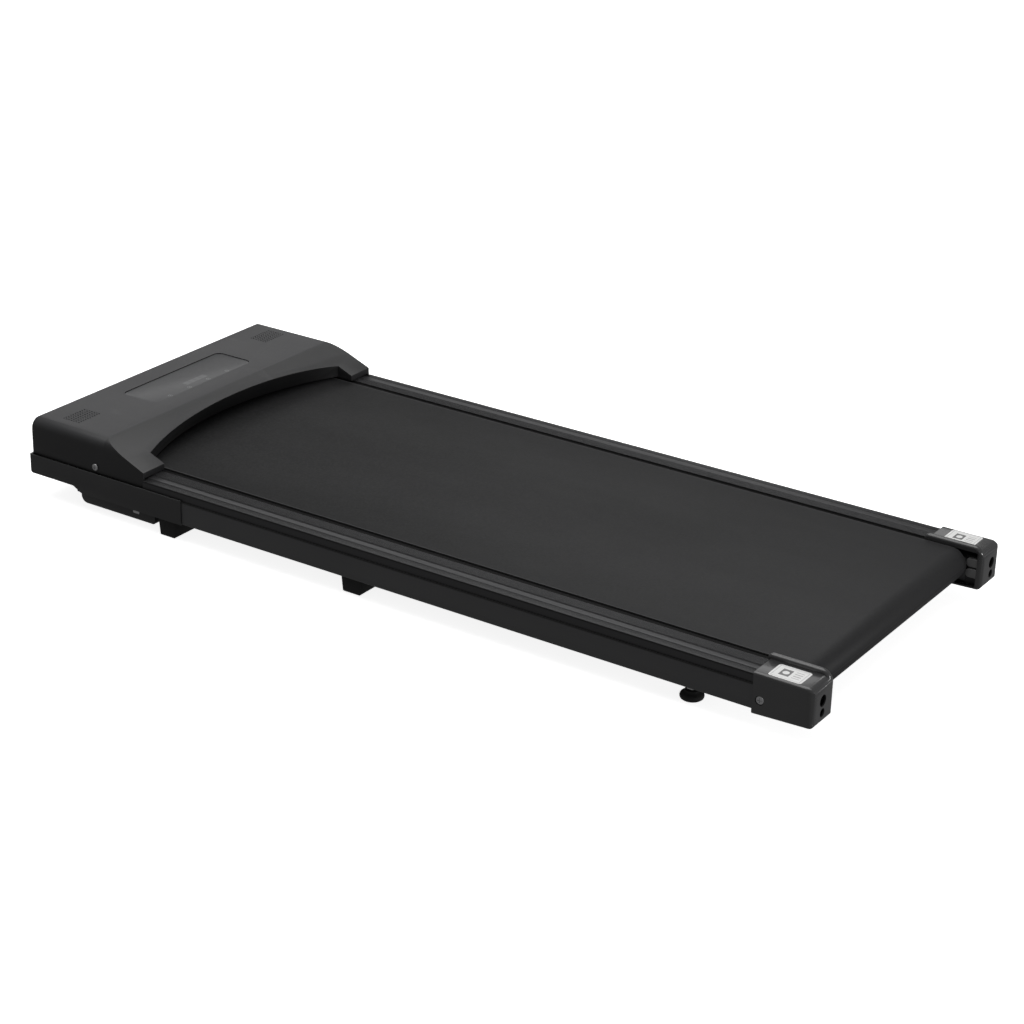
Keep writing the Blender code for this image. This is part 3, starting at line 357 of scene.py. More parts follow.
def mouldedPlastic(name, colour, roughness, grainDepth=0.00008, shadeOnSlopeAndSides=None, **fixed):
    # spark-eroded grain with soft blotches and faint handling marks
    grainSize, speckle = 0.0007, 0.12
    look = Look(name, **fixed)
    grain = look.noise(1 / grainSize, 2.0, 0.6)
    cells = look.node("TexVoronoi", {}, {"Vector": look.place, "Scale": 0.8 / grainSize}, out="Distance")
    blotch = look.noise(9.0, 2.0)
    smear = look.noise(34.0, 4.0, 0.7, look.stretched((0.35, 1.0, 1.0)))
    rub = look.between(smear, 0.60, 0.78)
    light = tuple(c * (1 + speckle) + 0.002 for c in colour)
    dark = tuple(c * (1 - speckle) for c in colour)
    tone = look.mix(look.between(grain * 0.5 + blotch * 0.5, 0.35, 0.65), dark, light)
    if shadeOnSlopeAndSides:
        # painted shade: past the crease, on the slope, and down the sides the colour is made darker
        creaseX, sideY = shadeOnSlopeAndSides
        slopeShade = look.between(look.x, creaseX, creaseX + 0.003) * 0.62
        sideShade = look.between(abs(look.y), sideY - 0.004, sideY) * 0.60
        shade = look.node("Math", {"operation": "MAXIMUM"}, {0: slopeShade, 1: sideShade})
        tone = look.mix(shade, tone, tuple(c * 0.1 for c in colour))
    wear = blotch + (grain - 0.5) * 0.5
    look.feed(
        Base_Color=look.mix(rub * 0.25, tone, tuple(c * 1.5 + 0.006 for c in colour)),
        Roughness=look.between(wear, 0.25, 0.75, roughness - 0.05, roughness + 0.05) - rub * 0.06,
        Normal=look.bump(grain * 0.6 + cells * 0.4, grainDepth, 0.55))
    return look.material


def displayGloss():
    # a smoked acrylic window with dim touch marks and the paler patch of the digits
    settings = {
        "keys": (-0.068, -0.027, 0.014, 0.055), "keyX": -0.511, "ring": 0.0028, "line": 0.0003, "dot": 0.0008,
        "patch": (-0.524, 0.0225, 0.005), "digit": 0.0056, "digitGap": 0.0012,
    }
    look = Look("displayGloss", Coat_Weight=0.25, Coat_Roughness=0.22)
    mist = look.noise(26.0, 4.0, 0.65)
    fine = look.noise(700.0, 2.0)
    marks = None
    for keyY in settings["keys"]:
        across = ((look.x - settings["keyX"]) ** 2.0 + (look.y - keyY) ** 2.0) ** 0.5
        ring = abs(across - settings["ring"]) < settings["line"]
        dot = across < settings["dot"]
        marks = ring + dot if marks is None else marks + ring + dot
    patchX, halfY, halfX = settings["patch"]
    patch = (abs(look.y) < halfY) * (abs(look.x - patchX) < halfX)
    bars = (((look.y + halfY) % settings["digit"]) > settings["digitGap"]) * patch  # blank segments
    base = look.mix(look.between(mist, 0.3, 0.7), (0.036, 0.037, 0.039), (0.044, 0.045, 0.047))
    dimmed = look.mix(patch * 0.4 + bars * 0.3, base, (0.115, 0.117, 0.120))
    look.feed(
        Base_Color=look.mix(marks * 0.7, dimmed, (0.30, 0.30, 0.31)),
        Roughness=look.between(mist, 0.35, 0.75, 0.34, 0.44),
        Normal=look.bump(fine, 0.000005, 0.15))
    return look.material


def beltRubber():
    # woven-backed PVC: a pebble grain over the weave, a burnished walking lane, a painted highlight along the
    # edges and painted light that makes it paler towards the tail
    look = Look("beltRubber", Specular_IOR_Level=0.2)
    pebbles = {"Vector": look.place, "Scale": 820.0, "Smoothness": 0.4}
    cells = look.node("TexVoronoi", {"feature": "SMOOTH_F1"}, pebbles, out="Distance")
    grain = look.noise(1300.0, 3.0, 0.6)
    cloud = look.noise(5.0, 3.0, 0.6, look.stretched((0.5, 1.2, 1.0)))
    weave = look.noise(330.0, 2.0, 0.5)
    lane = look.between(abs(look.y), 0.09, 0.19, 1.0, 0.0)
    # painted light: the belt is made paler towards the tail, as if lit from that end
    paintedTailLight = look.between(look.x, -0.45, 0.55)
    # painted highlight: a thin pale line along each edge of the belt
    edge = look.between(abs(look.y), 0.2004, 0.2010)
    tone = look.mix(look.between(grain * 0.2 + weave * 0.6 + cloud * 0.2, 0.36, 0.64),
                    (0.0045, 0.0045, 0.0048), (0.0125, 0.0125, 0.0130))
    worn = look.mix(lane * look.between(weave, 0.45, 0.7) * 0.25, tone, (0.020, 0.020, 0.021))
    litTowardsTail = look.mix(paintedTailLight * 0.7, worn, (0.031, 0.031, 0.032))
    look.feed(
        Base_Color=look.mix(edge, litTowardsTail, (0.055, 0.055, 0.056)),
        Roughness=look.between(cloud + lane * 0.2, 0.3, 0.9, 0.62, 0.50),
        Normal=look.bump((1.0 - cells) * 0.7 + grain * 0.3, 0.00018, 0.6))
    return look.material


def railAnodised(name, colour, roughness):
    # drawn lines along the extrusion, with a fine satin grain
    look = Look(name, Metallic=0.55)
    lines = look.noise(2600.0, 1.0, 0.5, look.stretched((0.004, 1.0, 1.0)))
    grain = look.noise(1900.0, 2.0)
    cloud = look.noise(6.0, 2.0)
    scuff = look.between(look.noise(55.0, 4.0, 0.7, look.stretched((0.25, 1.0, 1.0))), 0.64, 0.74)
    tone = look.mix(lines, tuple(c * 0.9 for c in colour), tuple(c * 1.1 for c in colour))
    darkerOuterBand = look.between(abs(look.y), 0.2397, 0.2403) * (look.z > 0.0710)  # the grooved outer band on top is darker
    tone = look.mix(darkerOuterBand * 0.55, tone, tuple(c * 0.35 for c in colour))
    look.feed(
        Base_Color=look.mix(scuff * 0.15, tone, tuple(c * 2.2 for c in colour)),
        Roughness=look.between(lines * 0.6 + cloud * 0.4, 0.3, 0.7, roughness - 0.05, roughness + 0.06),
        Normal=look.bump(lines * 0.7 + grain * 0.3, 0.00003, 0.4))
    return look.material


def paintedSteel():
    # satin powder coat with a light orange peel
    look = Look("paintedSteel", Specular_IOR_Level=0.45)
    peel = look.noise(420.0, 2.0, 0.5)
    fine = look.noise(2200.0, 1.0)
    cloud = look.noise(7.0, 3.0)
    chip = look.between(look.noise(90.0, 5.0, 0.75), 0.72, 0.76)
    tone = look.mix(cloud, (0.060, 0.060, 0.062), (0.078, 0.078, 0.080))
    look.feed(
        Base_Color=look.mix(chip * 0.4, tone, (0.07, 0.07, 0.07)),
        Roughness=look.between(cloud + peel * 0.3, 0.4, 0.9, 0.40, 0.50),
        Normal=look.bump(peel * 0.8 + fine * 0.2, 0.00006, 0.35))
    return look.material


def footRubber():
    look = Look("footRubber", Specular_IOR_Level=0.3)
    grain = look.noise(1500.0, 3.0, 0.6)
    dust = look.between(look.noise(60.0, 4.0, 0.7), 0.5, 0.75)
    low = look.between(look.z, 0.0, 0.012, 1.0, 0.0)  # scuffed and dusty towards the floor
    tone = look.mix(grain, (0.014, 0.014, 0.014), (0.024, 0.024, 0.024))
    look.feed(
        Base_Color=look.mix(dust * low * 0.5 + dust * 0.1, tone, (0.06, 0.058, 0.055)),
        Roughness=look.between(grain + dust, 0.4, 1.4, 0.62, 0.80),
        Normal=look.bump(grain, 0.00012, 0.5))
    return look.material


def brightSteel(name="brightSteel", colour=(0.62, 0.62, 0.63), roughness=0.26):
    # turned and zinc plated: fine lines, faint yellowing in patches
    look = Look(name, Metallic=1.0)
    lines = look.noise(1100.0, 2.0, 0.6, look.stretched((0.3, 0.3, 1.0)))
    patch = look.noise(120.0, 3.0, 0.6)
    tone = look.mix(lines, tuple(c * 0.82 for c in colour), colour)
    yellowed = tuple(c * fade for c, fade in zip(colour, (0.9, 0.85, 0.75)))
    look.feed(
        Base_Color=look.mix(look.between(patch, 0.5, 0.8) * 0.3, tone, yellowed),
        Roughness=look.between(lines * 0.5 + patch * 0.5, 0.3, 0.7, roughness - 0.06, roughness + 0.10),
        Normal=look.bump(lines, 0.00002, 0.3))
    return look.material


def castSteel(name, colour, roughness, metallic):
    look = Look(name, Metallic=metallic)
    grit = look.noise(520.0, 4.0, 0.65)
    cloud = look.noise(30.0, 3.0)
    tone = look.mix(grit * 0.5 + cloud * 0.5, tuple(c * 0.6 for c in colour), tuple(c * 1.3 for c in colour))
    look.feed(
        Base_Color=tone,
        Roughness=look.between(grit, 0.3, 0.7, roughness - 0.08, roughness + 0.1),
        Normal=look.bump(grit, 0.00012, 0.5))
    return look.material


def deckWood():
    # a coated fibreboard: waxed dark faces, fibre showing on the sawn edges
    look = Look("deckWood", Specular_IOR_Level=0.08)
    fibre = look.noise(900.0, 4.0, 0.7, look.stretched((0.3, 1.0, 2.5)))
    wax = look.noise(14.0, 3.0)
    sawn = 1.0 - (look.z > 0.0715) - (look.z < 0.0609)
    face = look.mix(wax, (0.003, 0.003, 0.003), (0.005, 0.005, 0.005))
    core = look.mix(fibre, (0.20, 0.13, 0.07), (0.34, 0.23, 0.13))
    look.feed(
        Base_Color=look.mix(sawn, face, core),
        Roughness=look.between(fibre, 0.3, 0.7, 0.45, 0.62),
        Normal=look.bump(fibre, 0.00015, 0.4))
    return look.material


def circuitBoard():
    # solder mask over copper tracks, with bare pads
    look = Look("circuitBoard")
    layout = {"Vector": look.place, "Scale": 90.0, "Mortar Size": 0.02}
    tracks = look.node("TexBrick", {"offset": 0.5}, layout, out="Fac")
    pads = look.node("TexVoronoi", {}, {"Vector": look.place, "Scale": 260.0}, out="Distance")
    pad = pads < 0.16
    weave = look.noise(1200.0, 2.0)
    mask = look.mix(tracks * 0.6, (0.012, 0.085, 0.035), (0.030, 0.150, 0.060))
    look.feed(
        Base_Color=look.mix(pad * 0.8, mask, (0.55, 0.54, 0.50)),
        Roughness=look.between(weave, 0.3, 0.7, 0.30, 0.42),
        Metallic=pad * 0.7,
        Normal=look.bump(tracks * 0.7 + weave * 0.3, 0.00006, 0.5))
    return look.material


def capLabel():
    # a plain printed label: a thin rule near its edge and a blank pictogram block
    settings = {
        "centreX": 0.5635, "centreY": 0.2335, "half": (0.0215, 0.0160), "rule": (0.84, 0.88),
        "blockX": 0.5580, "block": (0.0065, 0.0080), "disc": 0.0042,
        "barX": 0.5735, "bar": (0.0050, 0.0080), "barPitch": 0.0026, "barGap": 0.0016,
    }
    look = Look("capLabel", Coat_Weight=0.25, Coat_Roughness=0.2)
    across = abs(look.x - settings["centreX"]) / settings["half"][0]
    offLine = abs(abs(look.y) - settings["centreY"])
    along = offLine / settings["half"][1]
    reach = look.node("Math", {"operation": "MAXIMUM"}, {0: across, 1: along})
    ruleIn, ruleOut = settings["rule"]
    rule = (reach > ruleIn) * (reach < ruleOut)
    blockX, (blockHalfX, blockHalfY) = settings["blockX"], settings["block"]
    block = (abs(look.x - blockX) < blockHalfX) * (offLine < blockHalfY)
    disc = (((look.x - blockX) ** 2.0 + offLine ** 2.0) ** 0.5) < settings["disc"]
    barHalfX, barHalfY = settings["bar"]
    bars = (offLine % settings["barPitch"]) > settings["barGap"]
    bars = bars * (abs(look.x - settings["barX"]) < barHalfX) * (offLine < barHalfY)
    paper = look.noise(1400.0, 2.0)
    smudge = look.noise(120.0, 3.0)
    white = look.mix(smudge, (0.90, 0.90, 0.89), (0.95, 0.95, 0.94))
    ink = rule * 0.35 + block * (1.0 - disc) * 0.85 + bars * 0.45
    look.feed(
        Base_Color=look.mix(ink, white, (0.05, 0.05, 0.052)),
        Roughness=look.between(smudge, 0.3, 0.7, 0.30, 0.42),
        Normal=look.bump(paper, 0.00001, 0.3))
    return look.material


looks = {
    # the hood's slope and sides get painted shade in their colour
    "hood": mouldedPlastic("hoodPlastic", (0.032, 0.032, 0.034), 0.42, shadeOnSlopeAndSides=(-0.4755, 0.2475)),
    "hoodShade": mouldedPlastic("hoodUnderShade", (0.008, 0.008, 0.0085), 0.50),
    "cover": mouldedPlastic("coverPlastic", (0.034, 0.034, 0.035), 0.40),
    "cap": mouldedPlastic("capPlastic", (0.044, 0.044, 0.045), 0.30, grainDepth=0.00002,
                          Coat_Weight=0.6, Coat_Roughness=0.12),
    "nylon": mouldedPlastic("nylonBlock", (0.17, 0.17, 0.17), 0.45),
    "socket": mouldedPlastic("socketPlastic", (0.012, 0.012, 0.012), 0.50),
    "reset": mouldedPlastic("resetPlastic", (0.42, 0.02, 0.015), 0.38),
    "display": displayGloss(),
    "belt": beltRubber(),
    "rail": railAnodised("railAnodised", (0.055, 0.055, 0.057), 0.38),
    "paint": paintedSteel(),
    "rubber": footRubber(),
    "steel": brightSteel(),
    "motor": castSteel("motorSteel", (0.06, 0.06, 0.063), 0.46, 0.8),
    "fins": railAnodised("heatsinkAluminium", (0.55, 0.56, 0.57), 0.36),
    "wood": deckWood(),
    "board": circuitBoard(),
    "label": capLabel(),
}
print("materials made:", len(looks))


def finish(obj, look, body="chassis", replaces=()):
    takeUp(obj)
    bpy.ops.transform.translate(value=datum)
    bpy.ops.object.transform_apply(location=True, rotation=True, scale=True)
    obj.data.materials.clear()
    obj.data.materials.append(looks[look])
    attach(obj, body)
    if replaces:
        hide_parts(*replaces)
    return obj


# the hood over the motor

hood = {
    "front": -0.606, "crease": -0.4775, "rear": -0.404,
    "top": 0.1093, "lip": 0.0795, "bottom": 0.0591,
    "half": 0.250, "draft": math.tan(math.radians(3.2)), "fillet": 0.016,
    "corner": 0.004, "frontEdge": 0.003, "wall": 0.0025,
    "armInner": 0.2067, "armBottom": 0.0712, "beltWay": 0.0728, "railHalf": 0.2462,
    "archFoot": (0.0711, -0.4775, 0.46), "archHead": (0.1000, -0.459, 0.66), "archCorner": 0.008,
    "panelX": (-0.571, -0.507), "panelHalf": 0.1045, "panelCorner": 0.011,
    "screw": (-0.489, 0.0672), "screwBore": 0.0028,
    "speaker": (-0.557, 0.2005), "hole": 0.0013, "holePitch": 0.0045, "holes": (10, 7),
}


def hoodBlock(name, inset, bottom):
    half, top = hood["half"] - inset, hood["top"] - inset
    block = addBox(name, (hood["front"] - 0.02, -half, bottom), (hood["rear"] - inset, half, top))
    openMesh(block)
    pick("FACE", lambda f: f.normal.z > 0.9)
    narrow = (half - (top - hood["bottom"]) * hood["draft"]) / half
    bpy.ops.transform.resize(value=(1, narrow, 1), center_override=(0, 0, top))
    if bottom < hood["bottom"]:
        pick("FACE", lambda f: f.normal.z < -0.9)
        wide = (half + (hood["bottom"] - bottom) * hood["draft"]) / half
        bpy.ops.transform.resize(value=(1, wide, 1), center_override=(0, 0, bottom))
    roundEdges(lambda e: runsAlong(e, 0) and middle(e).z > top - 0.001, hood["fillet"] - inset, 14)
    bpy.ops.mesh.select_all(action="SELECT")
    slope = Vector((hood["top"] - hood["lip"], 0, hood["rear"] - hood["crease"])).normalized()
    start = Vector((hood["crease"], 0, hood["top"])) - slope * inset
    bpy.ops.mesh.bisect(plane_co=start, plane_no=slope, use_fill=True, clear_outer=True)
    closeMesh()
    reach = half + 0.01 if bottom < hood["bottom"] else half
    nose = addBox(name + "Nose", (hood["front"] + inset, -reach, bottom - 0.001),
                  (hood["rear"] + 0.02, reach, top))
    openMesh(nose)
    roundEdges(lambda e: runsAlong(e, 2) and middle(e).x < hood["front"] + 0.01, hood["corner"], 10)
    roundEdges(lambda e: onPlane(e, 2, top) and middle(e).x < hood["front"] + 0.02 and not runsAlong(e, 0),
               hood["frontEdge"] - inset * 0.8, 5)
    closeMesh()
    return carve(block, nose, operation="INTERSECT")


def archBlock(grow):
    # a cone-like sweep that leans in over the belt, cut off square at the arms
    footZ, footX, footR = hood["archFoot"]
    headZ, headX, headR = hood["archHead"]
    low, high = 0.050, 0.118

    def at(z):
        rise = (z - footZ) / (headZ - footZ)
        return footX + (headX - footX) * rise - grow, footR + (headR - footR) * rise

    apex, radius = at(low)
    arch = addRod("archTool", "z", (apex + radius, 0, (low + high) / 2), radius, high - low, 720)
    openMesh(arch)
    pick("FACE", lambda f: f.normal.z > 0.9)
    headApex, headRadius = at(high)
    grown = headRadius / radius
    bpy.ops.transform.resize(value=(grown, grown, 1), center_override=(apex + radius, 0, high))
    bpy.ops.transform.translate(value=(headApex + headRadius - apex - radius, 0, 0))
    edge = hood["armInner"] + grow
    for planeY, planeX, normal in ((edge, 0, (0, 1, 0)), (-edge, 0, (0, -1, 0)), (0, -0.38, (1, 0, 0))):
        bpy.ops.mesh.select_all(action="SELECT")
        bpy.ops.mesh.bisect(plane_co=(planeX, planeY, 0), plane_no=normal, use_fill=True, clear_outer=True)
    roundEdges(lambda e: all(abs(v.co.y) > edge - 1e-4 for v in e.verts)
               and abs(e.verts[0].co.z - e.verts[1].co.z) > 0.05 and middle(e).x < -0.40,
               hood["archCorner"], 8)
    closeMesh()
    return arch


def makeHood():
    shell = hoodBlock("hoodShell", 0.0, hood["bottom"])
    hollow = hoodBlock("hoodHollow", hood["wall"], 0.050)
    carve(hollow, archBlock(hood["wall"]))
    carve(shell, archBlock(0.0), hollow)
    arm, rail = hood["armInner"], hood["railHalf"]
    wayFront, wayRear, wayFoot = -0.495, -0.39, 0.04
    carve(shell, addBox("beltWay", (wayFront, -arm, wayFoot), (wayRear, arm, hood["beltWay"])),
          addBox("railWay", (wayFront, -rail, wayFoot), (wayRear, rail, hood["armBottom"])))
    easeEdges(shell, 0.0006, 3, 30)
    frontX, rearX = hood["panelX"]
    window = addBox("panelWindow", (frontX, -hood["panelHalf"], 0.100), (rearX, hood["panelHalf"], 0.120))
    openMesh(window)
    roundEdges(lambda e: runsAlong(e, 2), hood["panelCorner"], 10)
    closeMesh()
    carve(shell, window)
    screwX, screwZ = hood["screw"]
    rows, columns = hood["holes"]
    pitch = hood["holePitch"]
    for side in sides.values():
        speakerX, speakerY = hood["speaker"]
        start = (speakerX - pitch * (columns - 1) / 2, side * speakerY - pitch * (rows - 1) / 2, 0.107)
        grille = addRod("grilleHoles", "z", start, hood["hole"], 0.012, 12)
        for count, step in ((columns, (pitch, 0, 0)), (rows, (0, pitch, 0))):
            array = grille.modifiers.new("row", "ARRAY")
            array.count = count
            array.use_relative_offset = False
            array.use_constant_offset = True
            array.constant_offset_displace = step
        applyAll(grille)
        carve(shell, grille)
        carve(shell, addRod("screwBore", "y", (screwX, side * 0.249, screwZ), hood["screwBore"], 0.012, 32))
    smooth(shell, 28)
    finish(shell, "hood", replaces=("hood_shell",))
    shell.data.materials.append(looks["hoodShade"])
    openMesh(shell)
    # the leaning face over the belt is in shade
    pick("FACE", lambda f: f.normal.x > 0.5 and abs(middle(f).y) < hood["armInner"] and middle(f).x < -0.42
         and f.normal.z < 0.25)
    bpy.context.object.active_material_index = 1
    bpy.ops.object.material_slot_assign()
    closeMesh()
    return shell


def makePanel():
    settings = {"gap": 0.0004, "sink": 0.0008, "foot": 0.1053, "edge": 0.0005}
    frontX, rearX = hood["panelX"]
    gap, half = settings["gap"], hood["panelHalf"]
    panel = addBox("displayWindow", (frontX + gap, gap - half, settings["foot"]),
                   (rearX - gap, half - gap, hood["top"] - settings["sink"]))
    openMesh(panel)
    roundEdges(lambda e: runsAlong(e, 2), hood["panelCorner"] - gap, 10)
    roundEdges(lambda e: onPlane(e, 2, hood["top"] - settings["sink"]), settings["edge"], 3)
    closeMesh()
    smooth(panel)
    return finish(panel, "display", replaces=("display_panel",))


makeHood()
makePanel()
print("hood and display done")


# the belt

def makeBelt():
    settings = {
        "front": -0.487, "rear": 0.560, "axle": 0.0491, "radius": 0.0220, "half": 0.202, "thick": 0.0016,
    }
    r = settings["radius"]
    belt = addBox("walkingBelt", (settings["front"] - r, -settings["half"], settings["axle"] - r),
                  (settings["rear"] + r, settings["half"], settings["axle"] + r))
    openMesh(belt)
    roundEdges(lambda e: runsAlong(e, 1), r - 0.00001, 28)
    pick("FACE", lambda f: abs(f.normal.y) > 0.9)
    bpy.ops.mesh.delete(type="FACE")
    closeMesh()
    wall = belt.modifiers.new("wall", "SOLIDIFY")
    wall.thickness = settings["thick"]
    wall.offset = -1
    wall.use_even_offset = True
    applyAll(belt)
    easeEdges(belt, 0.0004, 2, 60)
    smooth(belt, 30)
    return finish(belt, "belt", replaces=("running_belt",))


makeBelt()


# the foot rails beside the belt

def makeFootRail():
    settings = {
        "x": (-0.4485, 0.5235), "inner": 0.2125, "ribs": 10, "ribPitch": 0.00170, "ribWidth": 0.0010,
        "ribTop": 0.0707, "ribFoot": 0.0700, "band": (0.2300, 0.2396), "bandTop": 0.0697,
        "under": 0.0680, "outer": 0.2507, "skirtFoot": 0.0574, "skirtFront": -0.4037, "skirtTop": 0.0691,
        "plateOuter": 0.2458, "ridge": (0.0009, 0.0019), "ridgeTop": 0.0694,
        "grooves": 5, "groovePitch": 0.0020, "groovesShort": 0.2456,
        "noseGroove": ((0.2500, 0.2509), (0.0668, 0.0679)), "skirtSeal": ((0.2490, 0.2523), (0.0556, 0.0573)),
    }
    front, rear = settings["x"]
    bandInner, bandOuter = settings["band"]
    skirtFront, outer = settings["skirtFront"], settings["outer"]
    under, skirtTop = settings["under"], settings["skirtTop"]
    parts = [addBox("ribPlate", (front, -bandInner, 0.0686), (rear, -settings["inner"], settings["ribFoot"]))]
    rib = addBox("rib", (front, -settings["inner"] - settings["ribWidth"], 0.0698),
                 (rear, -settings["inner"], settings["ribTop"]))
    openMesh(rib)
    roundEdges(lambda e: runsAlong(e, 2), 0.0005, 4)
    roundEdges(lambda e: onPlane(e, 2, settings["ribTop"]), 0.00022, 2)
    closeMesh()
    parts.append(rib)
    for i in range(1, settings["ribs"]):
        parts.append(copyShifted(rib, f"rib{i}", (0, -i * settings["ribPitch"], 0)))
    band = addBox("band", (front, -bandOuter, under), (rear, -bandInner, settings["bandTop"]))
    openMesh(band)
    roundEdges(lambda e: onPlane(e, 2, settings["bandTop"]), 0.0003, 3)
    closeMesh()
    parts.append(band)
    skirt = addBox("skirt", (skirtFront, -outer, under), (rear, -bandOuter - 0.0001, skirtTop))
    openMesh(skirt)
    pick("FACE", lambda f: f.normal.z < -0.9)
    bpy.ops.mesh.inset(thickness=0.0)
    roundEdges(lambda e: runsAlong(e, 0) and near(middle(e).y, -outer) and middle(e).z > 0.0685, 0.0007, 4)
    closeMesh()
    parts.append(skirt)
    parts.append(addBox("skirtWall", (skirtFront, -outer, settings["skirtFoot"]),
                        (rear, -outer + 0.0012, 0.0684)))
    parts.append(addBox("skirtPlate", (front, -settings["plateOuter"], under),
                        (skirtFront, -bandOuter, skirtTop)))
    (ridgeIn, ridgeOut), ridgeTop = settings["ridge"], settings["ridgeTop"]
    ridge = addBox("ridge", (front, -bandOuter - ridgeOut, 0.0688), (rear, -bandOuter - ridgeIn, ridgeTop))
    openMesh(ridge)
    roundEdges(lambda e: onPlane(e, 2, ridgeTop), 0.0002, 2)
    closeMesh()
    parts.append(ridge)
    for i in range(1, settings["grooves"]):
        away = -i * settings["groovePitch"]
        twin = copyShifted(ridge, f"ridge{i}", (0, away, -0.00005 * i))
        if bandOuter + ridgeOut - away > settings["groovesShort"]:
            # the outer ridges start behind the hood's arm, with the skirt
            openMesh(twin)
            pick("VERT", lambda v: v.co.x < 0)
            bpy.ops.transform.translate(value=(skirtFront - front, 0, 0))
            closeMesh()
        parts.append(twin)
    rail = joinPieces("footRailLeft", *parts)
    # painted shade: dark strips for the shadow in the groove under the rail's nose and for the shadow line
    # between its skirt and the tube
    strips = []
    for key in ("noseGroove", "skirtSeal"):
        (innerY, outerY), (footZ, topZ) = settings[key]
        strips.append(addBox(key, (skirtFront, -outerY, footZ), (rear, -innerY, topZ)))
    shadowStrips = joinPieces("railSealLeft", *strips)
    shadowStripsTwin = mirrorCopy(shadowStrips, "railSealRight")
    finish(shadowStrips, "hoodShade")
    finish(shadowStripsTwin, "hoodShade")
    smooth(rail, 40)
    twin = mirrorCopy(rail, "footRailRight")
    smooth(twin, 40)
    finish(rail, "rail", replaces=("foot_rail_left",))
    finish(twin, "rail", replaces=("foot_rail_right",))


makeFootRail()
print("belt and foot rails done")


# the end caps at the tail

cap = {
    "x": (0.525, 0.604), "y": (0.204, 0.254), "z": (0.018, 0.0725), "heel": 0.021, "wall": 0.002,
    "topRear": 0.011, "lowRear": 0.006, "outer": 0.0040, "innerRear": 0.006, "outerRear": 0.0085,
    "ridgeX": (0.520, 0.602), "ridgeY": 0.213, "ridgeTop": 0.0785,
    "hollowY": 0.2524, "hollowTopRear": 0.009, "hollowLowRear": 0.004,
    "ridgeFrontR": 0.0065, "ridgeRearR": 0.0130, "ridgeEdge": 0.0036,
    "boltY": 0.231, "keyHole": (0.0505, 0.0075), "lowHole": (0.0350, 0.0055),
    "screw": (0.535, 0.0384), "screwWell": 0.0059,
    "drainX": (0.566, 0.578), "drainY": (0.2225, 0.2275), "drainTop": 0.0207, "drainCorner": 0.0024,
}


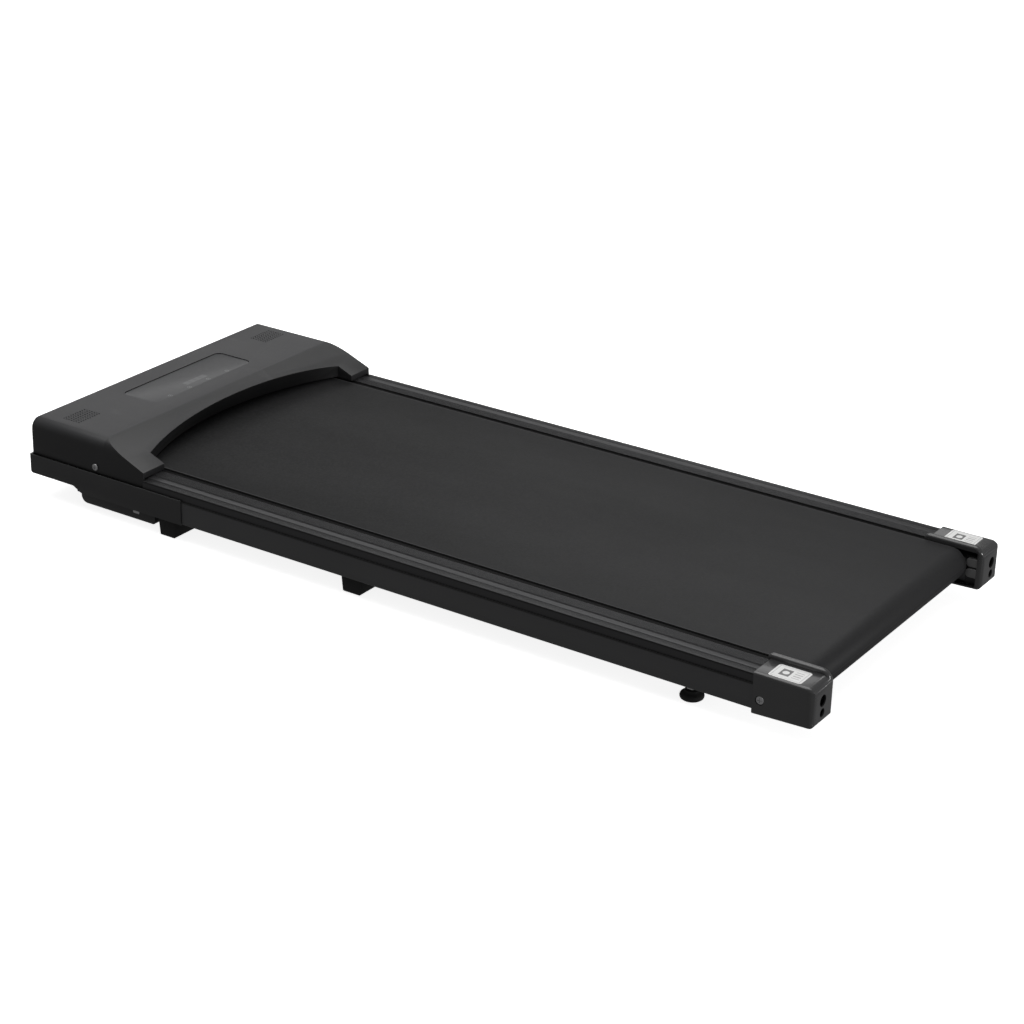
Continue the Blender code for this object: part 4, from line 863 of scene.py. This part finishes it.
def makeCap():
    (frontX, rearX), (inY, outY), (lowZ, topZ) = cap["x"], cap["y"], cap["z"]
    wall, hollowY = cap["wall"], cap["hollowY"]
    innerX = rearX - wall

    def across(x, low, high=1.0):
        # the edges that run across the cap at that x, between two heights
        return lambda e: runsAlong(e, 1) and near(middle(e).x, x) and low < middle(e).z < high

    def upright(low, high):
        # the upright edges at the rear, between two places across
        return lambda e: runsAlong(e, 2) and middle(e).x > 0.59 and low < middle(e).y < high

    shell = addBox("endCapLeft", (frontX, -outY, lowZ), (rearX, -inY, topZ))
    openMesh(shell)
    pick("VERT", lambda v: v.co.x > 0.55 and v.co.z < 0.03)
    bpy.ops.transform.translate(value=(0, 0, cap["heel"] - lowZ))
    roundEdges(across(rearX, 0.05), cap["topRear"], 10)
    roundEdges(across(rearX, 0.0, 0.03), cap["lowRear"], 10)
    roundEdges(lambda e: onPlane(e, 1, -outY) and not onPlane(e, 0, frontX), cap["outer"], 8)
    closeMesh()
    hollow = addBox("capHollow", (frontX + wall, -hollowY, lowZ + wall), (innerX, -inY + 0.004, topZ - wall))
    openMesh(hollow)
    pick("VERT", lambda v: v.co.x > 0.55 and v.co.z < 0.03)
    bpy.ops.transform.translate(value=(0, 0, cap["heel"] - lowZ))
    roundEdges(across(innerX, 0.05), cap["hollowTopRear"], 8)
    roundEdges(across(innerX, 0.0, 0.03), cap["hollowLowRear"], 6)
    bpy.ops.mesh.select_all(action="SELECT")
    bpy.ops.mesh.bisect(plane_co=(innerX - cap["innerRear"], -inY - 0.0005, 0), plane_no=(0.64, 0.77, 0),
                        use_fill=True, clear_outer=True)
    closeMesh()
    hollowPlan = addBox("capHollowPlan", (0.50, -hollowY, 0.0), (innerX, -0.19, 0.09))
    openMesh(hollowPlan)
    roundEdges(upright(-1.0, -0.25), cap["outerRear"] - wall, 10)
    closeMesh()
    carve(hollow, hollowPlan, operation="INTERSECT")
    (ridgeFront, ridgeRear), ridgeY = cap["ridgeX"], cap["ridgeY"]
    ridge = addBox("capRidge", (ridgeFront, -ridgeY, 0.0595), (ridgeRear, -inY, cap["ridgeTop"]))
    openMesh(ridge)
    roundEdges(across(ridgeFront, 0.07), cap["ridgeFrontR"], 8)
    roundEdges(across(ridgeRear, 0.07), cap["ridgeRearR"], 12)
    roundEdges(lambda e: (onPlane(e, 1, -inY) or onPlane(e, 1, -ridgeY)) and middle(e).z > 0.0605,
               cap["ridgeEdge"], 6)
    closeMesh()
    carve(ridge, addBox("ridgeFoot", (0.515, -0.22, 0.05), (0.528, -0.20, 0.0713)))
    carve(shell, ridge, operation="UNION")
    plan = addBox("capPlan", (0.51, -outY - 0.00001, 0.0), (rearX + 0.00001, -inY + 0.00001, 0.09))
    openMesh(plan)
    roundEdges(upright(-0.21, 0.0), cap["innerRear"], 10)
    roundEdges(upright(-1.0, -0.25), cap["outerRear"], 14)
    closeMesh()
    carve(shell, plan, operation="INTERSECT")
    carve(hollow, addBox("roof", (0.50, -0.26, topZ - wall), (0.62, -0.20, 0.09)))
    carve(shell, hollow)
    carve(shell, addBox("railWay", (frontX - 0.004, -hollowY, 0.0230), (frontX + 0.004, -0.2116, 0.0575)))
    easeEdges(shell, 0.0004, 2, 45)
    keyZ, keyR = cap["keyHole"]
    lowHoleZ, lowHoleR = cap["lowHole"]
    screwX, screwZ = cap["screw"]
    (drainFront, drainRear), (drainIn, drainOut) = cap["drainX"], cap["drainY"]
    slot = addBox("drainSlot", (drainFront, -drainOut, 0.015), (drainRear, -drainIn, cap["drainTop"]))
    openMesh(slot)
    roundEdges(lambda e: runsAlong(e, 2), cap["drainCorner"], 6)
    closeMesh()
    carve(shell, addRod("keyHole", "x", (rearX, -cap["boltY"], keyZ), keyR, 0.012, 48),
          addRod("lowHole", "x", (rearX, -cap["boltY"], lowHoleZ), lowHoleR, 0.012, 40),
          addRod("screwHole", "y", (screwX, -outY, screwZ), cap["screwWell"], 0.006, 40), slot)
    smooth(shell, 32)
    twin = mirrorCopy(shell, "endCapRight")
    smooth(twin, 32)
    finish(shell, "cap", replaces=("end_cap_left",))
    finish(twin, "cap", replaces=("end_cap_right",))


def makeLabel():
    settings = {"x": (0.540, 0.583), "y": (0.2175, 0.2495), "corner": 0.004, "thick": 0.0002}
    label = addBox("capLabelLeft", (settings["x"][0], -settings["y"][1], cap["z"][1] - 0.0001),
                   (settings["x"][1], -settings["y"][0], cap["z"][1] + settings["thick"]))
    openMesh(label)
    roundEdges(lambda e: runsAlong(e, 2), settings["corner"], 6)
    closeMesh()
    twin = mirrorCopy(label, "capLabelRight")
    for piece in (label, twin):
        smooth(piece)
        finish(piece, "label")


def makeNylonBlock():
    # the guides that hold the axle's end inside each cap
    settings = {
        "x": (0.580, 0.600), "y": (0.2065, 0.2110), "high": (0.0482, 0.0600), "low": (0.0335, 0.0455),
        "corner": 0.0045, "edge": 0.0008,
        "plate": ((0.5785, -0.2126, 0.0205), (0.5995, -0.2110, 0.0620)),
    }
    (frontX, rearX), (inY, outY) = settings["x"], settings["y"]
    parts = []
    for i, (lowZ, highZ) in enumerate((settings["high"], settings["low"])):
        part = addBox(f"nylonPart{i}", (frontX, -outY, lowZ), (rearX, -inY, highZ))
        openMesh(part)
        roundEdges(lambda e: runsAlong(e, 1), settings["corner"], 6)
        roundEdges(lambda e: onPlane(e, 1, -inY), settings["edge"], 3)
        closeMesh()
        parts.append(part)
    # painted shade: a dark sheet behind the guides, which darkens what shows through the cap's holes
    plate = addBox("capGuidePlateLeft", *settings["plate"])
    shadeSheetTwin = mirrorCopy(plate, "capGuidePlateRight")
    finish(plate, "hoodShade")
    finish(shadeSheetTwin, "hoodShade")
    block = joinPieces("capGuideLeft", *parts)
    twin = mirrorCopy(block, "capGuideRight")
    for piece in (block, twin):
        smooth(piece)
        finish(piece, "nylon")


makeCap()
makeLabel()
makeNylonBlock()
print("end caps done")


# screws, feet and the clip

def makeScrew(name, side, place, faceY, headR, head, node):
    axis = "y" if side > 0 else "-y"
    rings = [(0.0022, -0.008), (0.0022, 0.0), (headR, 0.0), (headR, head * 0.4), (headR * 0.96, head * 0.6),
             (headR * 0.82, head * 0.84), (headR * 0.55, head * 0.97), (headR * 0.2, head)]
    screw = turnUp(name, axis, (place[0], side * faceY, place[1]), rings, 40)
    outY = side * (faceY + head)
    slotY = (outY - side * head * 0.9, outY + side * 0.001)
    long, thin = headR * 0.55, headR * 0.11
    for i, (dx, dz) in enumerate(((long, thin), (thin, long))):
        low = (place[0] - dx, min(slotY), place[1] - dz)
        high = (place[0] + dx, max(slotY), place[1] + dz)
        carve(screw, addBox(f"{name}Slot{i}", low, high))
    smooth(screw)
    return finish(screw, "steel", replaces=(node,))


for sideName, side in sides.items():
    lower = sideName.lower()
    makeScrew("hoodScrew" + sideName, side, hood["screw"], 0.2500, 0.0050, 0.0022, "hood_screw_" + lower)
    makeScrew("capScrew" + sideName, side, cap["screw"], 0.2523, 0.0055, 0.0016, "cap_screw_" + lower)


def makeFoot(name, node):
    # a rubber block with drawn-in ends and a rounded sole
    settings = {"frontTaper": 0.003, "rearTaper": 0.001, "soleEdge": 0.0018, "recess": (0.003, -0.0010)}
    low, high = [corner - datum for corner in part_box(node)]
    midX = (low.x + high.x) / 2
    foot = addBox(name, low, high)
    openMesh(foot)
    pick("VERT", lambda v: v.co.z < 0.001 and v.co.x < midX)
    bpy.ops.transform.translate(value=(settings["frontTaper"], 0, 0))
    pick("VERT", lambda v: v.co.z < 0.001 and v.co.x > midX)
    bpy.ops.transform.translate(value=(-settings["rearTaper"], 0, 0))
    roundEdges(lambda e: onPlane(e, 2, low.z), settings["soleEdge"], 4)
    pick("FACE", lambda f: f.normal.z < -0.9)
    margin, depth = settings["recess"]
    bpy.ops.mesh.inset(thickness=margin, depth=depth)
    closeMesh()
    easeEdges(foot, 0.0006, 2)
    smooth(foot)
    return finish(foot, "rubber", replaces=(node,))


for sideName, side in sides.items():
    lower = sideName.lower()
    makeFoot("frontFoot" + sideName, "front_foot_" + lower)
    makeFoot("middleFoot" + sideName, "middle_foot_" + lower)


def makeLeveller(sideName, side):
    lower = sideName.lower()
    studX, studY = 0.431, 0.2255
    rings = [
        (0.0115, 0.0), (0.0128, 0.0003), (0.0142, 0.0014), (0.0149, 0.0030), (0.0150, 0.0044),
        (0.0147, 0.0058), (0.0138, 0.0072), (0.0124, 0.0083), (0.0108, 0.0092), (0.0098, 0.0101),
        (0.0093, 0.0112), (0.0090, 0.0122), (0.0086, 0.0125), (0.0044, 0.0125),
    ]
    pad = turnUp("levellingPad" + sideName, "z", (studX, side * studY, -datum.z), rings, 64)
    body = "levelling_foot_" + lower
    smooth(pad, 40)
    finish(pad, "rubber", body, ("levelling_pad_" + lower,))


for sideName, side in sides.items():
    makeLeveller(sideName, side)


def makeClip():
    # the spring clip that shows on the belly pan's side
    settings = {
        "low": (-0.4275, -0.2462, 0.0155), "high": (-0.4165, -0.2446, 0.0195),
        "corner": 0.0014, "recess": (0.0009, -0.0004),
    }
    clip = addBox("panClip", settings["low"], settings["high"])
    openMesh(clip)
    roundEdges(lambda e: runsAlong(e, 1), settings["corner"], 5)
    pick("FACE", lambda f: f.normal.y < -0.9)
    margin, depth = settings["recess"]
    bpy.ops.mesh.inset(thickness=margin, depth=depth)
    closeMesh()
    easeEdges(clip, 0.0002)
    smooth(clip)
    finish(clip, "steel")


makeClip()
print("screws and feet done")


# CAD pieces carried over with eased edges and a finish of their own

carried = {
    "base_tray": ("cover", 0.0004), "belly_pan": ("cover", 0.0005),
    "frame_rail_left": ("paint", 0.0), "frame_rail_right": ("paint", 0.0),
    "side_plate_left": ("paint", 0.0), "side_plate_right": ("paint", 0.0),
    "cross_member_front": ("paint", 0.0), "cross_member_middle": ("paint", 0.0),
    "cross_member_rear": ("paint", 0.0),
    "deck_board": ("wood", 0.0), "motor_bracket": ("paint", 0.0),
    "wheel_bracket_left": ("paint", 0.0002), "wheel_bracket_right": ("paint", 0.0002),
    "power_inlet": ("socket", 0.0), "switch_housing": ("socket", 0.0), "breaker_body": ("socket", 0.0),
    "speaker_left": ("socket", 0.0), "speaker_right": ("socket", 0.0),
    "display_board": ("board", 0.0), "controller_board": ("board", 0.0), "controller_heatsink": ("fins", 0.0),
    "motor_housing": ("motor", 0.0), "front_axle": ("steel", 0.0), "rear_axle": ("steel", 0.0),
    "drive_belt": ("rubber", 0.0),
    "front_roller": ("steel", 0.0), "rear_roller": ("steel", 0.0), "drive_pulley": ("motor", 0.0),
    "front_bearing_left": ("steel", 0.0), "front_bearing_right": ("steel", 0.0),
    "rear_bearing_left": ("steel", 0.0), "rear_bearing_right": ("steel", 0.0),
    "motor_rotor": ("steel", 0.0), "tension_bolt_left": ("motor", 0.0), "tension_bolt_right": ("motor", 0.0),
    "levelling_stud_left": ("steel", 0.0), "levelling_stud_right": ("steel", 0.0),
    "foot_locknut_left": ("steel", 0.0), "foot_locknut_right": ("steel", 0.0),
    "transport_wheel_left": ("rubber", 0.0), "transport_wheel_right": ("rubber", 0.0),
    "power_switch": ("socket", 0.0004), "breaker_button": ("reset", 0.0),
}
bodyOf = {}
for body, details in frame["record"]["behaviour"]["bodies"].items():
    for node in details["nodes"] if isinstance(details, dict) else details:
        bodyOf[node] = body

for node, (look, ease) in carried.items():
    words = node.split("_")
    name = words[0] + "".join(word.capitalize() for word in words[1:])
    piece = refined(node, name, ease, body=bodyOf[node])
    piece.data.materials.clear()
    piece.data.materials.append(looks[look])
print("carried over:", len(carried))


# floor, light and camera

def makeStudio():
    settings = {
        "floor": 0.90, "floorGlow": 0.86, "ambient": 0.17,
        "over": ((-0.4, 0.3, 2.7), (3.6, 3.0), 66.0),
        "back": ((-2.6, 3.4, 2.1), (3.4, 1.6), 13.0),
        "front": ((1.8, -2.8, 0.9), (2.0, 1.2), 2.3),
        "tail": ((3.2, 0.6, 0.5), (1.6, 0.8), 32.0),
        "aim": (0, 0, 0.06),
    }
    deselectAll()
    bpy.ops.mesh.primitive_plane_add(size=60, location=(0, 0, -0.0002))
    floor = settle("studioFloor")
    paper = bpy.data.materials.new("floorPaper")
    paper.use_nodes = True
    shader = paper.node_tree.nodes["Principled BSDF"]
    shader.inputs["Base Color"].default_value = (settings["floor"],) * 3 + (1,)
    shader.inputs["Roughness"].default_value = 0.9
    shader.inputs["Specular IOR Level"].default_value = 0.0
    shader.inputs["Emission Color"].default_value = (1, 1, 1, 1)
    shader.inputs["Emission Strength"].default_value = settings["floorGlow"]
    floor.data.materials.append(paper)
    floor.visible_glossy = False
    floor.visible_diffuse = False
    for name in ("over", "back", "front", "tail"):
        place, size, power = settings[name]
        bpy.ops.object.light_add(type="AREA", location=place)
        lamp = bpy.context.object
        lamp.name = name + "Softbox"
        lamp.data.shape = "RECTANGLE"
        lamp.data.size, lamp.data.size_y = size
        lamp.data.energy = power
        lamp.rotation_euler = (Vector(settings["aim"]) - Vector(place)).to_track_quat("-Z", "Y").to_euler()
    world = bpy.data.worlds.new("studio")
    world.use_nodes = True
    tree = world.node_tree
    back = tree.nodes["Background"]
    back.inputs["Color"].default_value = (1, 1, 1, 1)
    path = tree.nodes.new("ShaderNodeLightPath")
    blend = tree.nodes.new("ShaderNodeMapRange")
    blend.inputs["To Min"].default_value = settings["ambient"]
    blend.inputs["To Max"].default_value = 0.96
    tree.links.new(path.outputs["Is Camera Ray"], blend.inputs["Value"])
    tree.links.new(blend.outputs["Result"], back.inputs["Strength"])
    bpy.context.scene.world = world
    bpy.context.scene.view_settings.view_transform = "Standard"


def makeCamera():
    settings = {
        "place": (1.7088, -2.5493, 1.4091), "lens": 88.74,
        "right": (0.8286, 0.5595, 0.0215), "up": (-0.2436, 0.3256, 0.9136), "back": (0.5041, -0.7622, 0.4061),
    }
    deselectAll()
    bpy.ops.object.camera_add(location=settings["place"])
    camera = bpy.context.object
    camera.data.lens = settings["lens"]
    camera.data.sensor_width = 36
    axes = Matrix((settings["right"], settings["up"], settings["back"])).transposed()
    camera.rotation_euler = axes.to_euler()
    bpy.context.scene.camera = camera


makeStudio()
makeCamera()
deselectAll()
print("scene ready")
